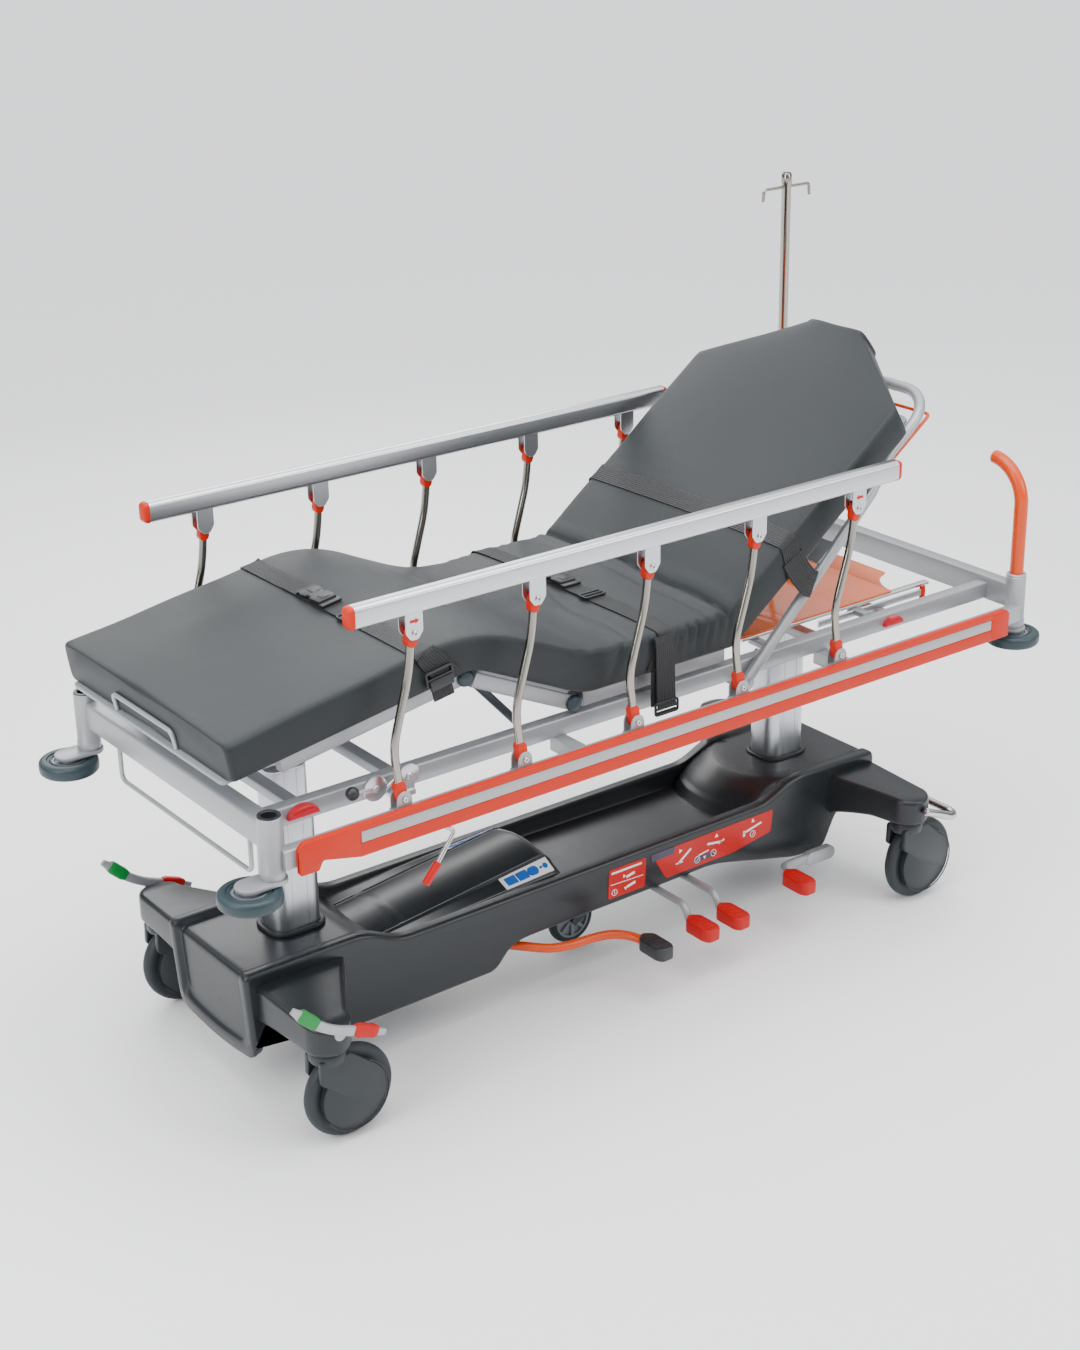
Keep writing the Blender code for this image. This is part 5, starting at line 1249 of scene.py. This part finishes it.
def buildBack():
    rise = math.tan(math.radians(7.5))
    half = [(0.0, 0.3205), (0.500, 0.3205), (0.600, 0.300), (0.680, 0.300)]
    half += [(0.680 + 0.090 * math.sin(a), 0.210 + 0.090 * math.cos(a)) for a in np.radians(np.arange(9, 91, 9))]
    near = np.array([(u, -y, min(u * rise, 0.081)) for u, y in half])
    route = np.concatenate([near, (near * np.array([1, -1, 1]))[::-1]])
    loop = pipe(route, 0.0125, (0, 0.05, 1), 22)
    parts = [loop]
    for side in (-1, 1):
        parts.append(block(0.300, 0.360, *sorted((side * 0.2805, side * 0.2860)), 0.050, 0.090, 0.001))
        parts.append(block(0.300, 0.360, *sorted((side * 0.2805, side * 0.3200)), 0.050, 0.0568, 0.001))
        parts.append(block(0.620, 0.680, *sorted((side * 0.2800, side * 0.2950)), 0.080, 0.090, 0.001))
        parts.append(slab(circle(0.0160, 28), "Y", *sorted((side * 0.3088, side * 0.3325)), 0.002))
        parts.append(slab(circle(0.0075, 20), "Y", *sorted((side * 0.2700, side * 0.3150)), 0.001))
    points, faces = joined(*[tilted(p, backHinge, -37.0) for p in parts])
    makePiece("backFrame", points, faces, silverPaint, "backrest", 50, ["back_frame"])
    points, faces = tilted(deckPanel(0.092, 0.690, 0.0885, 0.0968, 0.290), backHinge, -37.0)
    makePiece("backPanel", points, faces, deckGrey, "backrest", 40)
    bar = [(0.480, -0.2655, 0.040), (0.490, -0.2655, 0.028), (0.756, -0.2655, 0.025), (0.756, 0.2655, 0.025),
           (0.490, 0.2655, 0.028), (0.480, 0.2655, 0.040)]
    points, faces = tilted(pipe(roundedLine(bar, 0.014, 5), 0.004, (0, 0.05, 1), 14), backHinge, -37.0)
    makePiece("releaseBar", points, faces, orangePaint, "backrest_release_bar", 50,
              ["backrest_release_bar"])
    print("backrest made")


buildDeck()
buildStrut()
buildBack()


# ------------------------------------------------------------ mattress
mattress = {"half": 0.330, "round": 0.011, "crown": 0.0055, "sideBulge": 0.0035, "across": 46, "up": 9}


def matchedLine(corners, radii, counts, steps=8):
    # A cornered line with a fixed number of points on every straight and every bend, so that two such lines
    # can be paired point by point
    corners = np.asarray(corners, float)
    ends = [corners[0]]
    pieces = []
    for i in range(1, len(corners) - 1):
        before, here, after = corners[i - 1:i + 2]
        a = here + (before - here) / np.linalg.norm(before - here) * radii[i - 1]
        b = here + (after - here) / np.linalg.norm(after - here) * radii[i - 1]
        t = np.linspace(0, 1, steps + 1)[:, None]
        pieces.append((a, a * (1 - t) ** 2 + here * 2 * t * (1 - t) + b * t ** 2, b))
    line, start = [], ends[0]
    for i, count in enumerate(counts):
        stop = pieces[i][0] if i < len(pieces) else corners[-1]
        t = np.linspace(0, 1, count, endpoint=False)[:, None]
        line.append(start * (1 - t) + stop * t)
        if i < len(pieces):
            line.append(pieces[i][1][:-1])
            start = pieces[i][2]
    line.append(corners[-1:])
    return np.concatenate(line)


def ringShape():
    # Unit outline of the mattress's section: (across -1..1, up 0..1, corner x, corner y), with dense flats
    across, up = mattress["across"], mattress["up"]
    t = np.linspace(-1, 1, across, endpoint=True)
    side = np.linspace(0, 1, up)
    arc = np.linspace(0, pi / 2, 6)
    rows = [(v, 1.0, 0.0, 0.0) for v in t]
    top = [(s, 1.0, math.sin(a) - 1, math.cos(a) - 1) for s in (1,) for a in arc[1:]]
    right = [(1.0, 1 - v, 0.0, 0.0) for v in side[1:-1]]
    low = [(1.0, 0.0, math.cos(a) - 1, 1 - math.sin(a)) for a in arc]
    under = [(v, 0.0, 0.0, 0.0) for v in t[::-1][1:-1]]
    lowLeft = [(-1.0, 0.0, 1 - math.sin(a), 1 - math.cos(a)) for a in arc]
    left = [(-1.0, v, 0.0, 0.0) for v in side[1:-1]]
    topLeft = [(-1.0, 1.0, 1 - math.cos(a), math.sin(a) - 1) for a in arc[:-1]]
    return np.array(rows + top + right + low + under + lowLeft + left + topLeft)


def mattressGrid():
    # Sections of the whole mattress, foot to head. The underside follows the deck; the top is crowned and the edges are
    # rounded. The puckers where the cover folds, waves whose height fades away from the fold, are added afterwards by
    # puckers()
    low = matchedLine([(-1.0085, 0.8265), (-0.4780, 0.9095), (-0.2080, 0.7835), (0.1940, 0.7835), (0.8235, 1.2580)],
                      [0.030, 0.030, 0.012], [44, 22, 44, 60])
    top = matchedLine([(-1.0200, 0.9050), (-0.4660, 0.9920), (-0.1900, 0.8650), (0.1840, 0.8690), (0.7770, 1.3185)],
                      [0.110, 0.085, 0.016], [44, 22, 44, 60])
    count = len(low)
    s = np.concatenate([[0], np.cumsum(np.linalg.norm(np.diff((low + top) / 2, axis=0), axis=1))])
    half = np.full(count, mattress["half"])
    back = (top - np.array([0.2585, 0.928])) @ np.array([math.cos(math.radians(37)), math.sin(math.radians(37))])
    taper = np.clip((back + 0.162 - 0.652) / 0.160, 0, 1)
    half = half - 0.239 * taper
    shape = ringShape()
    up = top - low
    height = np.linalg.norm(up, axis=1)
    up = up / height[:, None]
    radius = mattress["round"]
    across, rise = shape[:, 0], shape[:, 1]
    y = across[None] * half[:, None] + shape[None, :, 2] * radius
    inner = np.where(np.abs(across) < 1, across * (1 - radius / mattress["half"]), across)
    y = np.where((shape[:, 2] == 0)[None] & (np.abs(across) < 1)[None], inner[None] * half[:, None], y)
    flatEnds = (shape[:, 2] == 0) & (shape[:, 3] == 0) & (np.abs(across) == 1)
    flatEnds &= (rise == 1) | (rise == 0)
    y = np.where(flatEnds[None], np.sign(across)[None] * (half[:, None] - radius), y)
    v = rise[None] * height[:, None] + shape[None, :, 3] * radius
    inSide = (shape[:, 2] == 0) & (np.abs(across) == 1) & (rise > 0) & (rise < 1)
    v = np.where(inSide[None], radius + rise[None] * (height[:, None] - 2 * radius), v)
    edge = 1 - np.clip(np.abs(y) / half[:, None], 0, 1) ** 4
    v = v + np.where(v > height[:, None] * 0.7, mattress["crown"] * edge, 0)
    return low, up, s, half, height, y, v


def puckers(s, y, v, height, half, x):
    # Small folds: across the top by the hip and the back fold, upright gathers down the seat's side walls,
    # and long soft waves everywhere
    onTop = np.clip((v / height - 0.75) / 0.2, 0, 1)
    onSide = np.clip((np.abs(y) / half - 0.955) / 0.03, 0, 1) * np.clip(v / height * 1.4, 0, 1)
    near = np.clip(-y / half, -1, 1)
    wander = 0.010 * np.sin(y * 9.0 + 1.0) + 0.006 * np.sin(y * 23.0 + 0.4)
    hipFold = sum(a * np.exp(-((x - c - wander * w) / d) ** 2) for a, c, w, d in
                  ((-0.0050, -0.172, 1.0, 0.0060), (0.0026, -0.158, 1.0, 0.0085), (-0.0030, -0.112, -1.2, 0.0055),
                   (0.0016, -0.100, -1.2, 0.008), (-0.0022, -0.060, 1.6, 0.006), (-0.0018, -0.215, 0.7, 0.010)))
    hipFold = 1.5 * hipFold * (0.60 + 0.40 * np.sin(y * 7.0 + 2.2))
    backFold = sum(a * np.exp(-((x - c - 0.5 * wander) / d) ** 2) for a, c, d in
                   ((-0.0075, 0.1850, 0.0050), (0.0030, 0.168, 0.008), (-0.0020, 0.140, 0.007), (0.0022, 0.204, 0.008)))
    lift = onTop * (hipFold + backFold + 0.0011 * np.sin(s * 11.0 + y * 6.0) + 0.0008 * np.sin(s * 23.0 - y * 13.0))
    inSeat = np.exp(-((x - 0.06) / 0.13) ** 2)
    gather = np.abs(np.sin((x + 0.006 * np.sin(v * 60.0)) * pi / 0.027)) ** 3
    gather = gather * (0.35 + 0.65 * np.abs(np.sin(x * 41.0 + near)))
    hipGather = np.exp(-((x + 0.135 - (v - 0.04) * 0.5) / 0.010) ** 2)
    hipGather += 0.7 * np.exp(-((x + 0.175 + (v - 0.04) * 0.6) / 0.012) ** 2)
    sideways = -onSide * (0.0085 * inSeat * gather + 0.0075 * hipGather + 0.0012 * (1 + np.sin(s * 17.0)))
    bulge = mattress["sideBulge"] * np.clip(1 - ((v / height - 0.5) / 0.5) ** 2, 0, 1)
    bulge = bulge * np.clip((np.abs(y) / half - 0.9) / 0.1, 0, 1)
    return lift, (sideways + bulge) * np.sign(y)


def mattressPoints():
    low, up, s, half, height, y, v = mattressGrid()
    x = low[:, None, 0] + up[:, None, 0] * v
    lift, sideways = puckers(s[:, None], y, v, height[:, None], half[:, None], x)
    v = v + lift
    y = y + sideways
    points = np.stack([low[:, None, 0] + up[:, None, 0] * v, y, low[:, None, 1] + up[:, None, 1] * v], -1)
    return points


def roundedEnd(points, inward, depth, steps=5):
    # Extra sections beyond an end of the mattress, shrinking along a quarter circle so the end face is
    # nearly flat with round rims
    centre = points.mean(0)
    out = []
    for t in np.linspace(0, 1, steps + 1)[1:]:
        a = t * pi / 2
        shrink = depth * (1 - math.cos(a))
        towards = centre - points
        flat = towards - np.outer(towards @ inward, inward)
        size = np.linalg.norm(flat, axis=1)[:, None]
        limit = np.minimum(shrink / np.maximum(size, 1e-6), 0.9)
        out.append(points + flat * limit - inward * depth * math.sin(a))
    return out


def buildMattress():
    points = mattressPoints()
    x = points[:, :, 0].mean(1)
    cutA = int(np.argmin(np.abs(x + 0.345)))
    cutB = int(np.argmin(np.abs(x + 0.020)))
    depth = 0.013
    footAxis = np.array([0.9877, 0.0, 0.1564])
    headAxis = -np.array([math.cos(math.radians(37)), 0.0, math.sin(math.radians(37))])
    foot = roundedEnd(points[0], footAxis, depth)[::-1]
    head = roundedEnd(points[-1], headAxis, depth)
    first = np.concatenate([foot, points[:cutA + 1]])
    second = points[cutA:cutB + 1]
    third = np.concatenate([points[cutB:], head])
    plans = (("mattressFoot", first, ("leg", "thigh"), ["leg_mattress"]),
             ("mattressHip", second, ("thigh", "upper_frame"), ["thigh_mattress"]),
             ("mattressHead", third, ("upper_frame", "backrest"), ["seat_mattress", "back_mattress"]))
    for name, sections, bodies, nodes in plans:
        p, f = loftParts(sections)
        piece = makePiece(name, p, f, clothCharcoal, None, 48)
        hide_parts(*nodes)
        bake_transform(piece)
    print("mattress made", len(points), points.shape)
    return points


mattressSections = buildMattress()


# ------------------------------------------------------------ straps and buckles
def strapMesh(name, path, outward, width, thick, body, material=None):
    # A flat belt along a path; outward is the face direction at each point. The UV map runs along and across
    path, outward = np.asarray(path, float), np.asarray(outward, float)
    tangent = np.gradient(path, axis=0)
    tangent /= np.linalg.norm(tangent, axis=1)[:, None]
    across = np.cross(tangent, outward)
    across /= np.linalg.norm(across, axis=1)[:, None]
    above = np.cross(across, tangent)
    u = np.array([-0.5, -0.49, -0.25, 0.0, 0.25, 0.49, 0.5])
    lift = np.array([0.35, 0.9, 1.0, 1.0, 1.0, 0.9, 0.35])
    sideways = across[:, None] * (u * width)[None, :, None]
    topRow = path[:, None] + sideways + above[:, None] * (lift * thick)[None, :, None]
    lowRow = path[:, None] + across[:, None] * (u * width)[None, ::-1, None]
    points, faces = loftParts(np.concatenate([topRow, lowRow], 1))
    mesh = bpy.data.meshes.new(name)
    mesh.from_pydata([tuple(p) for p in points], [], [tuple(f) for f in faces])
    along = np.concatenate([[0], np.cumsum(np.linalg.norm(np.diff(path, axis=0), axis=1))])
    ring = np.concatenate([u + 0.5, u[::-1] + 0.5])
    uvs = np.stack([np.repeat(along, 14), np.tile(ring, len(path))], 1)
    corners = np.empty(len(mesh.loops), int)
    mesh.loops.foreach_get("vertex_index", corners)
    mesh.uv_layers.new(name="strap").data.foreach_set("uv", uvs[corners].ravel().astype(np.float32))
    bm = bmesh.new()
    bm.from_mesh(mesh)
    bmesh.ops.recalc_face_normals(bm, faces=bm.faces)
    bm.to_mesh(mesh)
    bm.free()
    mesh.materials.append(material or beltCloth)
    mesh.shade_smooth()
    mesh.set_sharp_from_angle(angle=math.radians(50))
    made = bpy.data.objects.new(name, mesh)
    bpy.context.scene.collection.objects.link(made)
    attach(made, body)
    return made


def sectionPath(x, low=0.0):
    # The mattress's outline at one place along it, from the bottom of the near side over the top to the
    # bottom of the far side, as points with outward directions
    index = int(np.argmin(np.abs(mattressSections[:, :, 0].mean(1) - x)))
    ring = mattressSections[index]
    centre = ring.mean(0)
    ring = ring[(ring[:, 2] - ring[:, 2].min()) > low + 0.004]
    order = np.argsort(np.arctan2(ring[:, 1] - centre[1], ring[:, 2] - centre[2]))
    ring = ring[order]
    smooth = ring.copy()
    smooth[1:-1] = (ring[:-2] + 2 * ring[1:-1] + ring[2:]) / 4
    tangent = np.gradient(smooth, axis=0)
    along = mattressSections[min(index + 1, len(mattressSections) - 1)].mean(0) - mattressSections[index - 1].mean(0)
    along[1] = 0
    outward = np.cross(along, tangent)
    outward /= np.linalg.norm(outward, axis=1)[:, None]
    if outward[len(outward) // 2, 2] < 0:
        outward = -outward
    return smooth, outward


def buckle(place, forward, up, size=1.0):
    # Side-release buckle: a socket with a window on each side, a fork plug and the end bars, on a flat base
    forward, up = np.asarray(forward, float), np.asarray(up, float)
    forward = forward / np.linalg.norm(forward)
    up = up - forward * (up @ forward)
    up /= np.linalg.norm(up)
    side = np.cross(up, forward)
    socket = [(-0.030, -0.021), (0.006, -0.024), (0.006, -0.017), (0.020, -0.019), (0.020, 0.019), (0.006, 0.017),
              (0.006, 0.024), (-0.030, 0.021)]
    plug = [(0.021, -0.020), (0.036, -0.024), (0.050, -0.021), (0.050, 0.021), (0.036, 0.024), (0.021, 0.020)]
    parts = [slab(roundedLine(socket, 0.003, 3, True), "Z", 0.0005, 0.0105, 0.0025),
             slab(roundedLine(plug, 0.003, 3, True), "Z", 0.0005, 0.0085, 0.002),
             block(-0.046, -0.030, -0.0235, 0.0235, 0.0008, 0.0065, 0.0015),
             block(-0.022, -0.002, -0.009, 0.009, 0.0100, 0.0115, 0.001),
             block(0.052, 0.058, -0.0235, 0.0235, 0.0008, 0.0065, 0.0015),
             block(0.010, 0.046, -0.0045, 0.0045, 0.007, 0.0098, 0.0015)]
    points, faces = joined(*parts)
    points = points * size
    return points[:, :1] * forward + points[:, 1:2] * side + points[:, 2:] * up + np.asarray(place, float), faces


def glide(place, across, up, width=0.050, height=0.030):
    # Three-bar slide: a frame round two openings, carried on the strap
    across, up = np.asarray(across, float), np.asarray(up, float)
    out = np.cross(across, up)
    rim = roundedLine([(-width / 2, -height / 2), (width / 2, -height / 2), (width / 2, height / 2),
                       (-width / 2, height / 2)], 0.005, 4, True)
    ring = np.column_stack([rim[:, 0], rim[:, 1], np.zeros(len(rim))])
    loop = carried(ring, roundRect(0.0045, 0.0055, 0.0015, 3), closed=True)
    middle = carried(np.array([(-width / 2, 0, 0), (0, 0, 0), (width / 2, 0, 0)]), roundRect(0.0045, 0.0055, 0.0015, 3))
    points, faces = joined(loop, middle)
    turned = points[:, :1] * across + points[:, 1:2] * up + points[:, 2:] * out + np.asarray(place, float)
    return turned, faces


def buildStraps():
    width = 0.046
    for tag, x, body in (("Leg", -0.563, "leg"), ("Waist", -0.014, "upper_frame"), ("Chest", 0.352, "backrest")):
        path, outward = sectionPath(x)
        path = path + outward * 0.0006
        strapMesh("strap" + tag, path, outward, width, 0.0022, body)
        over = (path[:, 1] > -0.105) & (path[:, 1] < 0.150) & (outward[:, 2] > 0.5)
        if tag != "Chest":
            second = path[over] + outward[over] * 0.0022
            strapMesh("strapFold" + tag, second, outward[over], width, 0.0020, body)
            middle = int(np.argmin(np.abs(path[:, 1] - 0.030)))
            forward = path[middle + 2] - path[middle - 2]
            points, faces = buckle(path[middle] + outward[middle] * 0.0040, forward, outward[middle])
            makePiece("buckle" + tag, points, faces, deepBlack, body, 35)
            at = int(np.argmin(np.abs(path[:, 1] + 0.085)))
            forward = (path[at + 2] - path[at - 2]) / np.linalg.norm(path[at + 2] - path[at - 2])
            side = np.cross(outward[at], forward)
            points, faces = glide(path[at] + outward[at] * 0.005, side, forward, 0.054, 0.026)
            makePiece("slide" + tag, points, faces, deepBlack, body, 35)
    hangingLoop()
    legBuckle()
    chestFlap()
    print("straps made")


def hangingLoop():
    # The waist strap's spare end: it drops from the mattress's side past the frame and back up, and ends in
    # an adjuster
    x = -0.010
    drop = np.array([(-0.3350, 0.8640), (-0.3405, 0.8500), (-0.3420, 0.8000), (-0.3440, 0.7400), (-0.3470, 0.7100)])
    line = roundedLine(drop, 0.03, 6)
    path = np.column_stack([np.full(len(line), x + 0.002), line[:, 0], line[:, 1]])
    strapMesh("strapDropFront", path, np.tile((0, -1.0, 0.02), (len(path), 1)), 0.050, 0.0024, "upper_frame")
    back = np.array([(-0.3355, 0.7120), (-0.3340, 0.7500), (-0.3350, 0.7900)])
    line = roundedLine(back, 0.02, 5)
    path = np.column_stack([np.full(len(line), x - 0.006), line[:, 0], line[:, 1]])
    strapMesh("strapDropBack", path, np.tile((0, -1.0, 0.02), (len(path), 1)), 0.050, 0.0024, "upper_frame")
    points, faces = glide((x + 0.002, -0.3470, 0.7080), (1, 0, 0), (0, 0, 1), 0.060, 0.026)
    makePiece("strapAdjuster", points, faces, deepBlack, "upper_frame", 35)
    points, faces = block(x - 0.024, x + 0.028, -0.3480, -0.3440, 0.6925, 0.7020, 0.0015)
    makePiece("strapTip", points, faces, deepBlack, "upper_frame", 35)


def legBuckle():
    # Doubled webbing with a cam adjuster on the near side wall, by the knee
    path, outward = sectionPath(-0.563)
    onSide = path[:, 1] < -0.325
    wall, out = path[onSide] + outward[onSide] * 0.0032, outward[onSide]
    strapMesh("strapSideLeg", wall, out, 0.052, 0.0030, "leg")
    centre = wall[len(wall) // 2]
    a = math.radians(-9)
    along, up = np.array([math.cos(a), 0, -math.sin(a)]), np.array([math.sin(a), 0, math.cos(a)])
    points, faces = glide(centre + np.array([0, -0.006, -0.020]), along, up, 0.060, 0.030)
    plate = block(-0.027, 0.027, -0.034, -0.012, 0.000, 0.009, 0.003)
    cover = plate[0][:, :1] * along + plate[0][:, 1:2] * up + plate[0][:, 2:] * np.array([0, -1.0, 0]) + centre
    makePiece("legSlide", points, faces, deepBlack, "leg", 35)
    makePiece("legCam", cover + np.array([0, -0.003, -0.010]), plate[1], deepBlack, "leg", 35)
    tail = np.array([centre + up * t for t in np.linspace(-0.030, -0.068, 8)])
    tail[:, 1] -= 0.004 * np.linspace(0, 1, 8) ** 2
    strapMesh("strapTailLeg", tail, np.tile((0, -1.0, 0), (8, 1)), 0.048, 0.0024, "leg")


def chestFlap():
    # The chest strap's tail, laid round the backrest's near tube
    path = sectionPath(0.352)[0]
    edge = path[np.argmin(path[:, 1] + path[:, 2] * 0.001)]
    line = roundedLine([edge + np.array([0, -0.0005, 0.004]), edge + np.array([0.018, -0.004, -0.030]),
                        edge + np.array([0.045, -0.006, -0.062]), edge + np.array([0.062, -0.004, -0.070])], 0.015, 5)
    strapMesh("strapTailChest", line, np.tile((0, -1.0, 0.02), (len(line), 1)), 0.060, 0.0030, "backrest")


buildStraps()


# ------------------------------------------------------------ stage, light and camera
look = {"place": (-2.773, -3.623, 2.568), "azimuth": -36.658, "elevation": 22.622, "roll": -1.004, "lens": 59.79}


def softLight(name, place, target, size, power, colour=(1, 1, 1)):
    data = bpy.data.lights.new(name, "AREA")
    data.shape = "RECTANGLE"
    data.size, data.size_y = size
    data.energy = power
    data.color = colour
    made = bpy.data.objects.new(name, data)
    made.location = place
    made.rotation_euler = (Vector(target) - Vector(place)).to_track_quat("-Z", "Y").to_euler()
    bpy.context.scene.collection.objects.link(made)


def buildStage():
    # A pale flat floor, soft boxes overhead and a bright surround that is dimmer low down
    points = [(-30, -30, 0), (30, -30, 0), (30, 30, 0), (-30, 30, 0)]
    floor = Shade("studioFloor", (0.86, 0.865, 0.87), 0.55)
    floor.set("Base Color", floor.mix(floor.noise(0.8, 2.0), (0.93, 0.93, 0.93), (0.95, 0.95, 0.95)))
    made = makePiece("studioFloor", points, [(0, 1, 2, 3)], floor.material, None)
    world = bpy.data.worlds.new("studio")
    world.use_nodes = True
    tree = world.node_tree
    tree.nodes["Background"].inputs["Color"].default_value = (0.95, 0.97, 1.0, 1.0)
    aim = tree.nodes.new("ShaderNodeTexCoord")
    height = tree.nodes.new("ShaderNodeSeparateXYZ")
    glow = tree.nodes.new("ShaderNodeMapRange")
    tree.links.new(aim.outputs["Generated"], height.inputs[0])
    tree.links.new(height.outputs[2], glow.inputs["Value"])
    for name, value in zip(("From Min", "From Max", "To Min", "To Max"), (0.15, 0.75, 0.30, 2.1)):
        glow.inputs[name].default_value = value
    tree.links.new(glow.outputs[0], tree.nodes["Background"].inputs["Strength"])
    bpy.context.scene.world = world
    softLight("overhead", (-0.2, -0.6, 3.6), (0, 0, 0.4), (3.6, 2.2), 110)
    softLight("leftBox", (-3.6, -0.6, 2.2), (-0.2, 0, 0.6), (1.6, 2.2), 60)
    softLight("rightBox", (2.2, -3.4, 2.4), (0.2, 0, 0.5), (2.0, 1.6), 50)
    softLight("backBox", (1.0, 3.4, 2.6), (0, 0, 0.7), (3.0, 1.4), 60)


def buildCamera():
    azimuth, elevation, roll = (math.radians(look[k]) for k in ("azimuth", "elevation", "roll"))
    ahead = Vector((-math.sin(azimuth) * math.cos(elevation), math.cos(azimuth) * math.cos(elevation),
                    -math.sin(elevation)))
    right = ahead.cross(Vector((0, 0, 1))).normalized()
    above = right.cross(ahead)
    turnedRight = right * math.cos(roll) + above * math.sin(roll)
    turnedUp = above * math.cos(roll) - right * math.sin(roll)
    data = bpy.data.cameras.new("photoView")
    data.lens = look["lens"]
    data.sensor_fit = "VERTICAL"
    data.sensor_height = 36.0
    made = bpy.data.objects.new("photoView", data)
    turned = Matrix((turnedRight, turnedUp, -ahead)).transposed().to_4x4()
    turned.translation = Vector(look["place"])
    made.matrix_world = turned
    bpy.context.scene.collection.objects.link(made)
    bpy.context.scene.camera = made


buildStage()
buildCamera()
print("stage made")

bpy.context.view_layer.update()
low, high = np.full(3, np.inf), np.full(3, -np.inf)
depsgraph = bpy.context.evaluated_depsgraph_get()
hidden = {frame["nodes"][n].name for n in frame["nodes"]}
for thing in bpy.data.objects:
    if thing.type == "MESH" and thing.name not in hidden and thing.name != "studioFloor":
        mesh = thing.evaluated_get(depsgraph).to_mesh()
        place = np.empty(len(mesh.vertices) * 3)
        mesh.vertices.foreach_get("co", place)
        place = place.reshape(-1, 3)
        low, high = np.minimum(low, place.min(0)), np.maximum(high, place.max(0))
print("visual box", low.round(3), high.round(3))
